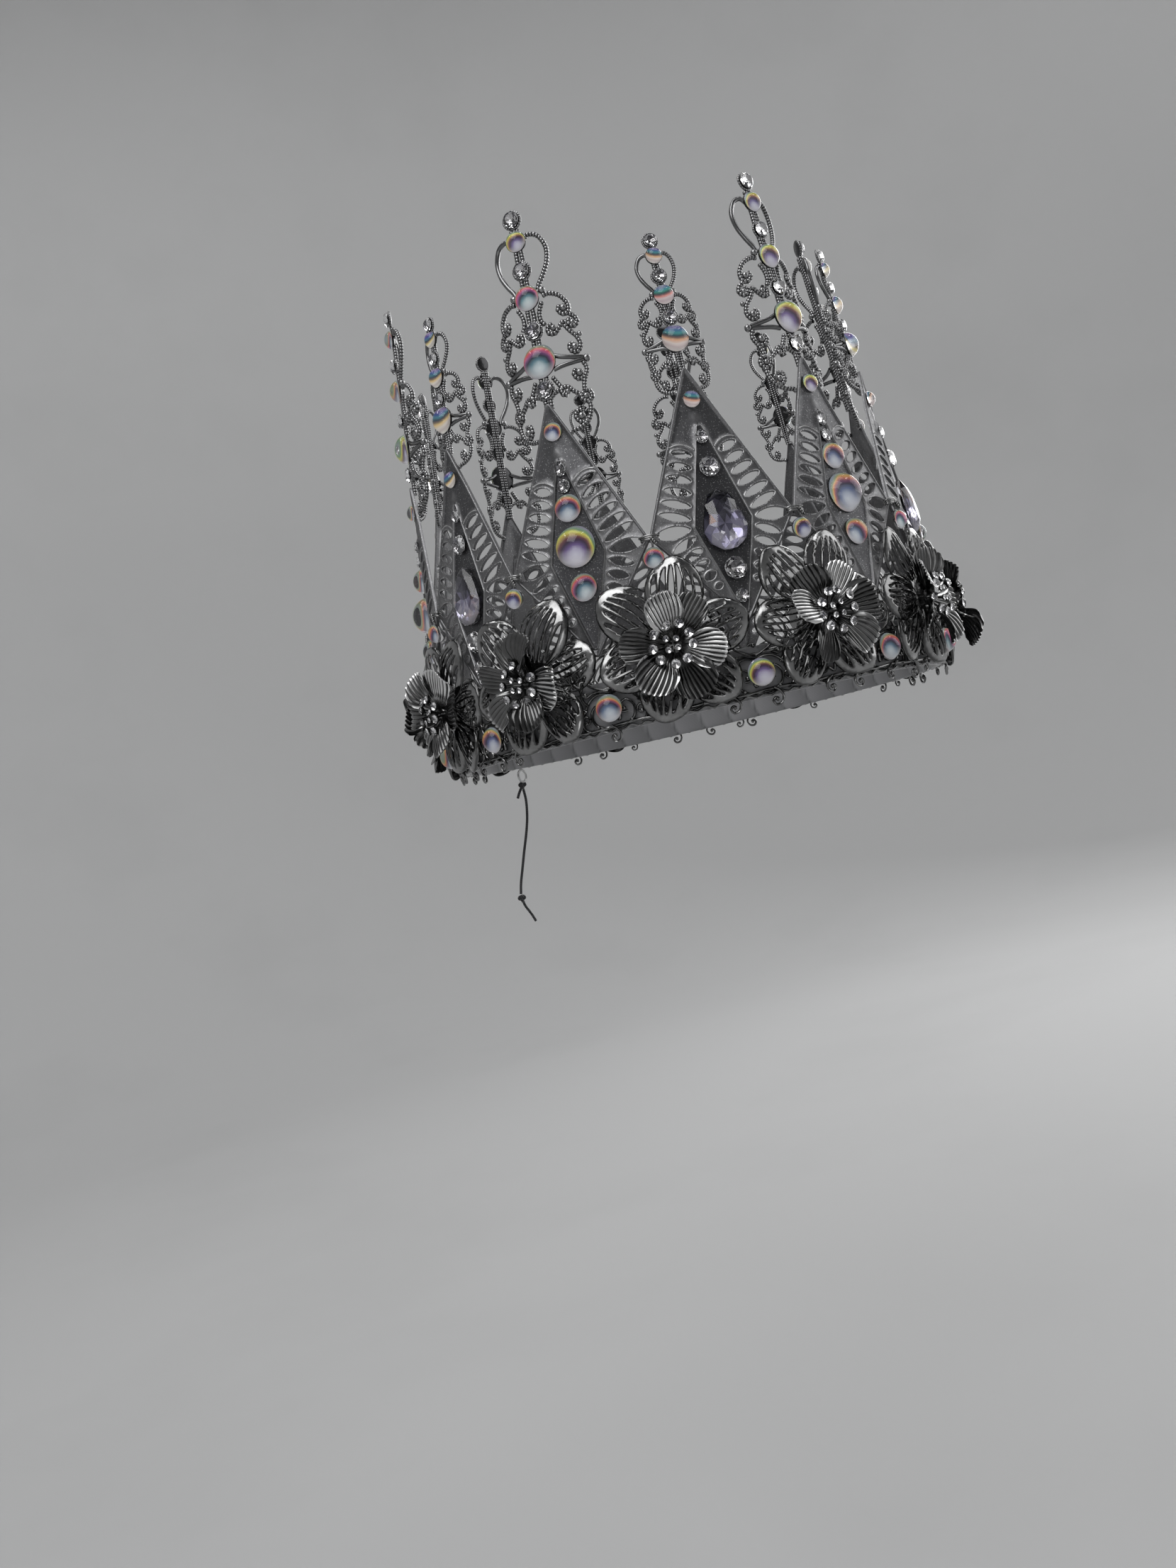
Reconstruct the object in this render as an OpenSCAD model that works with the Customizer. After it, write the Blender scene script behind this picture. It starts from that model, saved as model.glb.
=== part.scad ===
// Twelve-spire crown: kite plates and filigree finials wired round a ribbon-wrapped band,
// with layered metal flowers, half-round cabochons and faceted crystals.
// Z is up, the front is -Y, and z = 0 is the lower edge of the band.

/* [Kite plates] */
// Width of a kite plate from shoulder to shoulder
plate_w = 43; // [42.5:0.1:43.5]
// Height of a kite plate above its shoulders
plate_up = 47.5; // [46:0.5:49]
// Height of a kite plate below its shoulders
plate_down = 29.5; // [28.5:0.5:30]
// Height of the plate shoulders above the lower edge of the band
shoulder_z = 50.5; // [50:0.5:52]
// Inward lean of the plates and finials in degrees
lean = 5; // [4:0.5:6]
// Thickness of the stamped sheet
sheet_t = 0.8; // [0.6:0.1:1]
// Width of the inner diamond at the shoulders
diamond_w = 17.5; // [17:0.5:18]
// Distance from the plate apex down to the top of the inner diamond
diamond_drop = 15; // [14:0.5:16]

/* [Finials] */
// Size of a tall finial relative to a short one
tall_scale = 1.45; // [1.35:0.05:1.5]
// Thickness of the filigree of a finial
finial_t = 1; // [0.8:0.1:1.2]

/* [Flowers] */
// Height of the flower centres above the lower edge of the band
flower_z = 19.5; // [19:0.5:20.5]
// Outer radius of a lower flower
lower_flower_r = 22.3; // [21:0.1:22.3]
// Outer radius of an upper flower
upper_flower_r = 15.8; // [14:0.1:16.5]
// Thickness of a petal sheet
petal_t = 0.8; // [0.6:0.1:1]

/* [Band] */
// Inner radius of the ribbon-wrapped band, which the head fills
band_r = 79.2; // [78.7:0.1:79.3]
// Height of the band
band_h = 15; // [13:0.5:17]
// Thickness of the ribbon layer
ribbon_t = 0.7; // [0.5:0.1:0.7]
// Thickness of the steel hoop inside the ribbon
hoop_t = 0.8; // [0.6:0.1:0.8]

/* [Tie] */
// Diameter of the elastic tie cord
cord_d = 1; // [0.8:0.1:1.2]
// Radius of a knot in the tie cord
knot_r = 1.6; // [1.4:0.1:1.8]

/* [Hidden] */
SPIRES = 12;
PITCH = 360 / SPIRES;
function numbered(name) = [for (k = [1:SPIRES]) str(name, k < 10 ? "_0" : "_", k)];
PLATES = numbered("kite_plate");
FINIALS = numbered("finial");
LOWER_FLOWERS = numbered("lower_flower");
UPPER_FLOWERS = numbered("upper_flower");

// kite plates
PLATE_GAP = 0.3;
plate_r = (plate_w + PLATE_GAP) / 2 / tan(PITCH / 2);
shoulder_r = (plate_w + PLATE_GAP) / 2 / sin(PITCH / 2);
RIM_H = 0.5;
RIM_W = 1;
RIDGE_W = 0.7;
LEAVES = 6;
LEAF_PITCH = 3.6;
FIRST_LEAF = 2.6;
LEAF_TILT = 24;
LEAF_W = 2.5;
BIG_LEAF_W = 3.8;
LEAF_INNER_GAP = 1;
LEAF_OUTER_GAP = 1.6;

// finials, in the units of a short finial measured from the plate apex
WIRE_W = 1.1;
FINIAL_CABS = [[33.4, 5], [21.4, 6], [8, 8]];
FINIAL_CRYSTALS = [[38, 4], [27.2, 4], [14.5, 4]];
TALL_EXTRA_CRYSTAL = [2.1, 4];
TALL_STONE_SCALE = 1.25;

// stones on the plates: distance below the apex and diameter
SHORT_PLATE_CABS = [[10.7, 5]];
SHORT_PLATE_CRYSTALS = [[22, 4], [31, 6], [61, 6.5], [69, 4]];
TALL_PLATE_CABS = [[9.7, 5.5], [32.5, 8], [44, 12], [56, 8]];
TALL_PLATE_CRYSTALS = [[21, 4], [26, 4]];
PEAR_DROP = 47;
PEAR_R = 6.5;
PEAR_TIP_R = 4.3;
PEAR_LENGTH = 18;
PEAR_H = 3.6;
CAB_RISE = 0.42;

// base filigree
PANELS = 24;
RIBBON_GAP = 0.1;
PANEL_T = 1;
PANEL_GAP = 0.3;
panel_r = band_r + 2 * ribbon_t + hoop_t + RIBBON_GAP;
panel_w = 2 * panel_r * tan(180 / PANELS) - PANEL_GAP;
LOW_CAB_Z = 7;
LOW_CAB_D = 8;
JUNCTION_CAB_Z = 44.7;
JUNCTION_CAB_D = 6;
SEAT_T = 2;
SEAT_GAP = 0.05;

// flowers
flower_r = shoulder_r + 0.9;
PETALS = 6;
UPPER_PETALS = 6;
UPPER_PETAL_R = 6.3;
LOWER_PETAL_R = 9;
UPPER_LIFT = 3;
RING_STAMENS = 9;
RING_STAMEN_R = 5.5;
INNER_STAMENS = 4;
INNER_STAMEN_R = 1.9;
STAMEN_D = 3;
INNER_STAMEN_D = 1.9;
STAMEN_WIRE_D = 0.5;
RING_STAMEN_H = 8.3;
INNER_STAMEN_H = 9.6;

// tie cord, from the loop at the back down to the end knot
CORD_ROUTE = [
    [-21, 78.4, -7.6], [-21, 78.4, -12], [-22, 78.7, -18], [-23.8, 79.2, -24],
    [-26, 79.8, -30], [-28.2, 80.2, -36], [-30, 80.6, -41], [-31, 80.8, -45]
];
CORD_SIDES = 8;
CORD_STEPS = 3;
CORD_TAIL = [-27, 81, -56];
LOOP_R = 2.2;
LOOP_WIRE = 0.8;
LOOP_GAP = 0.05;
LOOP_ANGLE = 105;

// ---- placement ----------------------------------------------------------------------

// x across the spire, y up it from the shoulders, z outwards
module at_spire(k) {
    rotate([0, 0, PITCH * (k - 1)])
        translate([0, -plate_r, shoulder_z])
            rotate([90 - lean, 0, 0])
                children();
}

// x across, y up from the band's lower edge, z outwards from the given radius
module at_angle(turns, radius) {
    rotate([0, 0, PITCH * turns])
        translate([0, -radius, 0])
            rotate([90, 0, 0])
                children();
}

module at_flower(k) {
    at_angle(k - 0.5, flower_r) translate([0, flower_z, 0]) children();
}

function is_tall(k) = k % 2 == 1;
function finial_scale(k) = is_tall(k) ? tall_scale : 1;

// ---- flat shapes --------------------------------------------------------------------

module kite(w, up, down) {
    polygon([[0, up], [w / 2, 0], [0, -down], [-w / 2, 0]]);
}

// a kite has an inscribed circle, so scaling about its centre insets every side equally
module kite_frame(w, up, down, margin) {
    upper = norm([w / 2, up]);
    lower = norm([w / 2, down]);
    inner_r = w * (up + down) / 2 / (upper + lower);
    centre_y = up - inner_r * upper / (w / 2);
    difference() {
        kite(w, up, down);
        translate([0, centre_y])
            scale((inner_r - margin) / inner_r)
                translate([0, -centre_y])
                    kite(w, up, down);
    }
}

// pointed oval made of two arcs
module leaf(length, width) {
    arc_r = (length * length + width * width) / (4 * width);
    intersection() {
        translate([0, arc_r - width / 2]) circle(r = arc_r, $fn = 96);
        translate([0, width / 2 - arc_r]) circle(r = arc_r, $fn = 96);
    }
}

function edge_x(y) = plate_w / 2 * (y > 0 ? 1 - y / plate_up : 1 + y / plate_down);
function ridge_x(y) =
    diamond_w / 2 * (y > 0 ? max(0, 1 - y / (plate_up - diamond_drop)) : 1 + y / plate_down);

// leaf that starts beside the ridge at height y and leans away by tilt degrees
module leaf_from(y, width, tilt) {
    x0 = ridge_x(y) + LEAF_INNER_GAP;
    x1 = edge_x(y) - LEAF_OUTER_GAP;
    edge_slope = plate_w / 2 / (y > 0 ? plate_up : plate_down);
    length = (x1 - x0) / (cos(tilt) + edge_slope * abs(sin(tilt)));
    translate([x0, y])
        rotate(tilt)
            translate([length / 2, 0])
                leaf(length, min(width, length * 0.8));
}

// the leaves fan up above the shoulders and down below them
module leaf_cuts() {
    for (side = [0, 1]) mirror([side, 0]) {
        leaf_from(0, BIG_LEAF_W, 0);
        for (i = [0:LEAVES - 1]) {
            leaf_from(FIRST_LEAF + LEAF_PITCH * i, LEAF_W, LEAF_TILT);
            if (i < LEAVES - 1) leaf_from(-FIRST_LEAF - LEAF_PITCH * i, LEAF_W, -LEAF_TILT);
        }
    }
}

module disc_ring(x, y, r, w) {
    translate([x, y]) difference() {
        circle(r = r, $fn = 48);
        circle(r = r - w, $fn = 48);
    }
}

module disc(x, y, r) {
    translate([x, y]) circle(r = r, $fn = 48);
}

// straight flat wire from p to q
module flat_wire(p, q, w) {
    v = q - p;
    translate(p)
        rotate(atan2(v.y, v.x))
            translate([0, -w / 2])
                square([norm(v), w]);
}

// flat wire that winds from radius r0 to r1 while it turns from angle a0 to a1
module flat_scroll(c, r0, r1, a0, a1, w) {
    steps = 8;
    function at(t, r) = c + r * [cos(a0 + (a1 - a0) * t), sin(a0 + (a1 - a0) * t)];
    function radius(t) = r0 + (r1 - r0) * t;
    polygon(concat(
        [for (i = [0:steps]) at(i / steps, radius(i / steps) + w / 2)],
        [for (i = [steps:-1:0]) at(i / steps, radius(i / steps) - w / 2)]
    ));
}

// ---- kite plates and finials --------------------------------------------------------

module kite_plate(k) {
    color("slategray") at_spire(k) {
        linear_extrude(sheet_t) difference() {
            kite(plate_w, plate_up, plate_down);
            leaf_cuts();
        }
        translate([0, 0, sheet_t]) linear_extrude(RIM_H) {
            kite_frame(plate_w, plate_up, plate_down, RIM_W);
            kite_frame(diamond_w, plate_up - diamond_drop, plate_down, RIDGE_W);
        }
    }
}

module finial_half() {
    flat_wire([2.2, 34], [5.2, 32], WIRE_W);
    flat_wire([5.4, 32.2], [2, 22.5], WIRE_W);
    flat_scroll([4.9, 18.3], 3, 1.4, 170, -150, WIRE_W);
    flat_wire([7, 18.3], [7.6, 15.6], WIRE_W);
    disc_ring(7.4, 14.6, 1.7, WIRE_W);
    disc_ring(4.2, 13.6, 1.9, WIRE_W);
    flat_wire([1, 14], [3, 13.8], WIRE_W);
    flat_scroll([6.2, 9.6], 2.5, 1.2, 110, -200, WIRE_W);
    flat_wire([3.8, 8], [9.4, 6.9], WIRE_W);
    flat_scroll([6.4, 4.2], 2.9, 1.2, 110, -200, WIRE_W);
    disc_ring(6.3, 0, 2.2, WIRE_W);
    flat_scroll([4.6, -4], 2.6, 1.3, 60, -180, WIRE_W);
    flat_wire([3, 5], [0, -1], WIRE_W);
    flat_wire([1.1, 1.2], [4.6, 0.4], WIRE_W);
}

module finial_outline() {
    spine_top = 38;
    translate([-WIRE_W / 2, -3]) square([WIRE_W, spine_top + 3]);
    for (stone = concat(FINIAL_CABS, FINIAL_CRYSTALS)) disc(0, stone[0], stone[1] / 2 + 0.4);
    for (side = [0, 1]) mirror([side, 0]) finial_half();
}

// the finial sits behind the apex of its plate
module finial(k) {
    color("lightsteelblue") at_spire(k)
        translate([0, plate_up, -finial_t])
            linear_extrude(finial_t)
                scale(finial_scale(k))
                    finial_outline();
}

// ---- stones -------------------------------------------------------------------------

// half-round flat-backed stone
module cabochon(d) {
    rise = d * CAB_RISE;
    ball_r = (d * d / 4 + rise * rise) / (2 * rise);
    rotate_extrude($fn = 48) intersection() {
        translate([0, rise - ball_r]) circle(r = ball_r, $fn = 96);
        square([d / 2, rise]);
    }
}

module crystal(d) {
    girdle = 0.12 * d;
    cylinder(d = d, h = girdle, $fn = 48);
    translate([0, 0, girdle]) cylinder(d1 = d, d2 = 0.55 * d, h = 0.25 * d, $fn = 48);
}

// two round ends joined by their common tangents, as one loop of points
module pear_outline() {
    steps = 16;
    rise = PEAR_LENGTH - PEAR_R - PEAR_TIP_R;
    touch = acos((PEAR_R - PEAR_TIP_R) / rise);
    function at(a, r) = r * [-sin(a), cos(a)];
    polygon(concat(
        [for (i = [0:steps]) [0, rise] + at(touch * (2 * i / steps - 1), PEAR_TIP_R)],
        [for (i = [0:2 * steps]) at(touch + (180 - touch) * i / steps, PEAR_R)]
    ));
}

module at_plate_stone(k, drop) {
    at_spire(k) translate([0, plate_up - drop, sheet_t]) children();
}

module at_finial_stone(k, height) {
    at_spire(k) translate([0, plate_up + height * finial_scale(k), 0]) children();
}

function finial_stone_d(k, d) = is_tall(k) ? d * TALL_STONE_SCALE : d;

module ab_cabochons() {
    color("thistle") {
        for (k = [1:SPIRES]) {
            for (s = is_tall(k) ? TALL_PLATE_CABS : SHORT_PLATE_CABS)
                at_plate_stone(k, s[0]) cabochon(s[1]);
            for (s = FINIAL_CABS)
                at_finial_stone(k, s[0]) cabochon(finial_stone_d(k, s[1]));
            at_angle(k - 1, panel_r + PANEL_T + SEAT_T)
                translate([0, LOW_CAB_Z, 0]) cabochon(LOW_CAB_D);
            at_angle(k - 0.5, shoulder_r + petal_t)
                translate([0, JUNCTION_CAB_Z, 0]) cabochon(JUNCTION_CAB_D);
        }
    }
}

module rhinestones() {
    color("white") for (k = [1:SPIRES]) {
        for (s = is_tall(k) ? TALL_PLATE_CRYSTALS : SHORT_PLATE_CRYSTALS)
            at_plate_stone(k, s[0]) crystal(s[1]);
        for (s = is_tall(k) ? concat(FINIAL_CRYSTALS, [TALL_EXTRA_CRYSTAL]) : FINIAL_CRYSTALS)
            at_finial_stone(k, s[0]) crystal(finial_stone_d(k, s[1]));
    }
}

module pear_stones() {
    girdle = 1.6;
    table_scale = 0.6;
    color("lavender") for (k = [2:2:SPIRES])
        at_plate_stone(k, PEAR_DROP + PEAR_LENGTH / 2 - PEAR_R) {
            linear_extrude(girdle) pear_outline();
            translate([0, 0, girdle])
                linear_extrude(PEAR_H - girdle) scale(table_scale) pear_outline();
        }
}

// ---- flowers ------------------------------------------------------------------------

// round petals in a ring, each with straight slits along it
module petal_ring(count, outer_r, petal_r, slits, slit_w) {
    reach = outer_r - petal_r;
    difference() {
        union() {
            circle(r = reach * 0.7, $fn = 48);
            for (i = [0:count - 1]) rotate(360 / count * i) disc(reach, 0, petal_r);
        }
        for (i = [0:count - 1], j = [1:slits])
            rotate(360 / count * i)
                translate([reach - petal_r * 0.2, (j - (slits + 1) / 2) * petal_r / 2.6 - slit_w / 2])
                    square([petal_r * 0.9, slit_w]);
    }
}

module lower_flower(k) {
    hub_h = flower_r - panel_r - PANEL_T;
    color("dimgray") at_flower(k) {
        linear_extrude(petal_t) petal_ring(PETALS, lower_flower_r, LOWER_PETAL_R, 3, 1.2);
        translate([0, 0, -hub_h]) cylinder(r = 3, h = hub_h, $fn = 32);
    }
}

module upper_flower(k) {
    color("gray") at_flower(k) {
        translate([0, 0, UPPER_LIFT])
            linear_extrude(petal_t) petal_ring(UPPER_PETALS, upper_flower_r, UPPER_PETAL_R, 2, 0.6);
        translate([0, 0, petal_t]) cylinder(r = 2.5, h = UPPER_LIFT - petal_t, $fn = 32);
    }
}

// x, y, z and diameter of each crystal
function stamen_tips() = concat(
    [for (i = [0:RING_STAMENS - 1])
        [RING_STAMEN_R * cos(360 / RING_STAMENS * i),
         RING_STAMEN_R * sin(360 / RING_STAMENS * i), RING_STAMEN_H, STAMEN_D]],
    [for (i = [0:INNER_STAMENS - 1])
        [INNER_STAMEN_R * cos(360 / INNER_STAMENS * i + 20),
         INNER_STAMEN_R * sin(360 / INNER_STAMENS * i + 20), INNER_STAMEN_H, INNER_STAMEN_D]]
);

function place_of(stamen) = [stamen.x, stamen.y, stamen.z];

module stamen_crystals() {
    color("white") for (k = [1:SPIRES])
        at_flower(k)
            for (stamen = stamen_tips())
                translate(place_of(stamen)) sphere(d = stamen[3], $fn = 32);
}

module rod(p, q, d) {
    v = q - p;
    translate(p)
        rotate([0, acos(v.z / norm(v)), atan2(v.y, v.x)])
            cylinder(d = d, h = norm(v), $fn = 16);
}

// stems run from a small hub on the upper flower to the underside of each crystal
module stamen_wires() {
    hub_z = UPPER_LIFT + petal_t;
    hub_h = 0.6;
    root_z = hub_z + hub_h + STAMEN_WIRE_D / 2;
    root_scale = 0.24;
    color("dimgray") for (k = [1:SPIRES])
        at_flower(k) {
            translate([0, 0, hub_z]) cylinder(r = 1.6, h = hub_h, $fn = 24);
            for (stamen = stamen_tips()) {
                tip = place_of(stamen);
                root = [tip.x * root_scale, tip.y * root_scale, root_z];
                reach = norm(tip - root);
                rod(root, root + (tip - root) * (reach - stamen[3] / 2) / reach, STAMEN_WIRE_D);
            }
        }
}

// ---- base ---------------------------------------------------------------------------

module band_ring(r, t, z, h) {
    rotate_extrude($fn = 180) translate([r, z]) square([t, h]);
}

module band_hoop() {
    color("dimgray") band_ring(band_r + ribbon_t, hoop_t, ribbon_t, band_h - 2 * ribbon_t);
}

module ribbon_wrap() {
    color("silver") rotate_extrude($fn = 180) translate([band_r, 0]) difference() {
        square([2 * ribbon_t + hoop_t, band_h]);
        translate([ribbon_t, ribbon_t]) square([hoop_t, band_h - 2 * ribbon_t]);
    }
}

// one flat lace panel: rails and side bars with rings between, and small rings along both edges
module lace_panel() {
    rail_w = 1.2;
    ring_w = 1.2;
    for (y = [1.4, 12.4, 23.4]) translate([-panel_w / 2, y]) square([panel_w, rail_w]);
    for (x = [-panel_w / 2, panel_w / 2 - rail_w]) translate([x, 1.4]) square([rail_w, 23.2]);
    for (x = [-4.9, 4.9], y = [7.5, 18.5]) disc_ring(x, y, 5.3, ring_w);
    for (x = [-7, 0, 7]) disc_ring(x, -0.6, 2.6, ring_w);
    for (x = [-5, 5]) disc_ring(x, 26.2, 2.6, ring_w);
}

module base_filigree() {
    color("darkslategray") {
        for (i = [0:PANELS - 1])
            at_angle(i * SPIRES / PANELS, panel_r) linear_extrude(PANEL_T) lace_panel();
        for (k = [1:SPIRES])
            at_angle(k - 1, panel_r) translate([0, LOW_CAB_Z, PANEL_T + SEAT_GAP])
                cylinder(r = 3.4, h = SEAT_T - SEAT_GAP, $fn = 32);
    }
}

module wire_ring(r, d) {
    rotate_extrude($fn = 48) translate([r, 0]) circle(d = d, $fn = 24);
}

// a wire loop through two neighbouring shoulders, over a tag that seats a cabochon
module plate_ties() {
    ring_r = 2.9;
    wire_d = 0.7;
    tag_w = 1.2;
    tag_top = shoulder_z - wire_d / 2;
    color("black") for (k = [1:SPIRES]) {
        at_angle(k - 0.5, shoulder_r) {
            translate([0, shoulder_z, 0]) rotate([90, 0, 0]) wire_ring(ring_r, wire_d);
            linear_extrude(petal_t) {
                disc(0, JUNCTION_CAB_Z, JUNCTION_CAB_D / 2);
                translate([-tag_w / 2, JUNCTION_CAB_Z]) square([tag_w, tag_top - JUNCTION_CAB_Z]);
            }
        }
    }
}

// ---- tie ----------------------------------------------------------------------------

// the loop hangs edge-on to the head, so it stays clear of the opening
module tie_loop() {
    color("silver") rotate([0, 0, LOOP_ANGLE])
        translate([band_r + ribbon_t + hoop_t / 2, 0, -LOOP_R - LOOP_WIRE / 2 - LOOP_GAP])
            rotate([0, 90, 0])
                wire_ring(LOOP_R, LOOP_WIRE);
}

// smooth curve through the route's points
function spline_point(a, b, c, d, t) =
    0.5 * (2 * b + (c - a) * t + (2 * a - 5 * b + 4 * c - d) * t * t
        + (3 * b - a - 3 * c + d) * t * t * t);
function smooth_route(p) = concat(
    [for (i = [0:len(p) - 2], s = [0:CORD_STEPS - 1])
        spline_point(p[max(i - 1, 0)], p[i], p[i + 1], p[min(i + 2, len(p) - 1)], s / CORD_STEPS)],
    [p[len(p) - 1]]
);

// the route runs nearly straight down, so each ring lies level
module level_tube(route, d, sides) {
    points = [for (c = route, i = [0:sides - 1])
        c + d / 2 * [cos(360 / sides * i), sin(360 / sides * i), 0]];
    last = len(route) - 1;
    walls = [for (r = [0:last - 1], i = [0:sides - 1])
        let (a = r * sides + i, b = r * sides + (i + 1) % sides) [a, b, b + sides, a + sides]];
    ends = [[for (i = [sides - 1:-1:0]) i], [for (i = [0:sides - 1]) last * sides + i]];
    polyhedron(points = points, faces = concat(walls, ends));
}

module tie_cord() {
    color("black") level_tube(smooth_route(CORD_ROUTE), cord_d, CORD_SIDES);
}

// the upper knot holds the cord to its loop, and the lower one has a short tail
module cord_knots() {
    end_knot = CORD_ROUTE[len(CORD_ROUTE) - 1] - [0, 0, knot_r];
    color("black") {
        translate(CORD_ROUTE[0] + [0, 0, knot_r]) sphere(r = knot_r, $fn = 32);
        translate(end_knot) sphere(r = knot_r, $fn = 32);
        rod(end_knot, CORD_TAIL, cord_d);
    }
}

// ---- the assembly -------------------------------------------------------------------

for (k = [1:SPIRES]) {
    kite_plate(k);
    finial(k);
    lower_flower(k);
    upper_flower(k);
}
band_hoop();
ribbon_wrap();
base_filigree();
plate_ties();
ab_cabochons();
rhinestones();
pear_stones();
stamen_crystals();
stamen_wires();
tie_loop();
tie_cord();
cord_knots();
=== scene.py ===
"""Twelve-spire crown with layered metal flowers, half-round cabochons and faceted crystals.

Shapes are worked out in millimetres and turned into metres when a mesh is made.
"""

import math

import bmesh
import bpy
import numpy as np
from mathutils import Matrix, Vector
from mathutils.geometry import delaunay_2d_cdt


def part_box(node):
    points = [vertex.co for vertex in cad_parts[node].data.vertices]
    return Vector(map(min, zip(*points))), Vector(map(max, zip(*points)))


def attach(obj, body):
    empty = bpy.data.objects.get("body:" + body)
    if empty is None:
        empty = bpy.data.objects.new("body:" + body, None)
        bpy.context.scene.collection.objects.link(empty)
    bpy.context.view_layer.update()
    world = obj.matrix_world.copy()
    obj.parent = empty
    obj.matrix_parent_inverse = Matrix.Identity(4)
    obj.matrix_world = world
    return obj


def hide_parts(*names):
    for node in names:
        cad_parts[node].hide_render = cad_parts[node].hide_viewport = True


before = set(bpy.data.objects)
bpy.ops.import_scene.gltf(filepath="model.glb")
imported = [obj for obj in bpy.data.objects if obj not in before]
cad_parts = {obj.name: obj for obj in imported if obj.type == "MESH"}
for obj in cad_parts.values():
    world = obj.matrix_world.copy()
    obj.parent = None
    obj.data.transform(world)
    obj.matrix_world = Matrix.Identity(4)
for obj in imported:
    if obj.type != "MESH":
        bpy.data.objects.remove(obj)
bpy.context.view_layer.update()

MM = 0.001
SPIRES = 12
PITCH = 360 / SPIRES
rng = np.random.default_rng(20)


# ---- camera and cord ----------------------------------------------------------------


def look(obj, position, target, up):
    """Places obj at position, in metres, with its -Z towards target."""
    back = (Vector(position) - Vector(target)).normalized()
    right = Vector(up).cross(back).normalized()
    turned = Matrix((right, back.cross(right), back)).transposed().to_4x4()
    obj.matrix_world = Matrix.Translation(position) @ turned


CAMERA_LENS = 32.55
CAMERA_POSITION = (-0.3307, -0.3481, -0.0171)
CAMERA_TARGET = (-0.0439, 0.0115, -0.0118)
CAMERA_UP = (0.169, -0.149, 0.974)

camera = bpy.data.objects.new("camera", bpy.data.cameras.new("camera"))
bpy.context.scene.collection.objects.link(camera)
bpy.context.scene.camera = camera
camera.data.lens = CAMERA_LENS
camera.data.clip_start = 0.01
look(camera, CAMERA_POSITION, CAMERA_TARGET, CAMERA_UP)

CORD_ROUTE = [
    (-21, 78.4, -7.6), (-21, 78.4, -12), (-22, 78.7, -18), (-23.8, 79.2, -24),
    (-26, 79.8, -30), (-28.2, 80.2, -36), (-30, 80.6, -41), (-31, 80.8, -45),
]
CORD_TAIL = (-27, 81, -56)
CORD_R = 0.5
KNOT_R = 1.6


# ---- mesh tools ---------------------------------------------------------------------


def smooth_path(points, step, closed=False):
    """Points about step apart along a smooth curve through the given ones."""
    p = np.asarray(points, float)
    n = len(p)
    spans = n if closed else n - 1
    out = []
    for i in range(spans):
        if closed:
            a, b, c, d = (p[(i + j) % n] for j in (-1, 0, 1, 2))
        else:
            b, c = p[i], p[i + 1]
            a = p[i - 1] if i > 0 else 2 * b - c
            d = p[i + 2] if i + 2 < n else 2 * c - b
        count = max(1, int(round(np.linalg.norm(c - b) / step)))
        for s in range(count):
            t = s / count
            out.append(
                0.5 * (2 * b + (c - a) * t + (2 * a - 5 * b + 4 * c - d) * t * t
                       + (3 * b - a - 3 * c + d) * t ** 3)
            )
    if not closed:
        out.append(p[-1])
    return np.array(out)


def arc_path(centre, radius, start, end, step, radius_end=None, z=0.0):
    """A flat arc or spiral, with angles in degrees."""
    r1 = radius if radius_end is None else radius_end
    sweep = math.radians(abs(end - start))
    n = max(4, int(sweep * (radius + r1) / 2 / step))
    t = np.linspace(0, 1, n + 1)
    a = np.radians(start + (end - start) * t)
    r = radius + (r1 - radius) * t
    return np.stack([centre[0] + r * np.cos(a), centre[1] + r * np.sin(a), np.full_like(a, z)], 1)


class Parts:
    """Gathers many small surfaces into one mesh, with a value for each point."""

    def __init__(self):
        self.points, self.faces, self.values, self.spots = [], [], [], []
        self.count = 0

    def add(self, points, faces, value=0.0, spots=None, place=None):
        p = np.asarray(points, float)
        if place is not None:
            m = np.array(place)
            p = p @ m[:3, :3].T + m[:3, 3]
        self.points.append(p)
        self.faces.extend([[i + self.count for i in f] for f in faces])
        self.values.append(np.full(len(p), value) if np.isscalar(value) else np.asarray(value))
        self.spots.append(np.zeros((len(p), 3)) if spots is None else np.asarray(spots, float))
        self.count += len(p)

    def turn(self, profile, sides, value=0.0, at=None, place=None):
        """Adds a lathe shape, moved by at and then put at place."""
        points, faces = lathe(profile, sides)
        self.add(points if at is None else points + at, faces, value, place=place)

    def mesh(self, name, sharp=None, spots=False):
        m = bpy.data.meshes.new(name)
        m.from_pydata((np.concatenate(self.points) * MM).tolist(), [], self.faces)
        tone = m.attributes.new("tone", "FLOAT", "POINT")
        tone.data.foreach_set("value", np.concatenate(self.values).astype(np.float32))
        if spots:
            spot = m.attributes.new("spot", "FLOAT_VECTOR", "POINT")
            spot.data.foreach_set("vector", np.concatenate(self.spots).astype(np.float32).ravel())
        if sharp is None or sharp > 0:
            m.shade_smooth()
        if sharp:
            m.set_sharp_from_angle(angle=math.radians(sharp))
        m.update()
        return m


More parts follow.
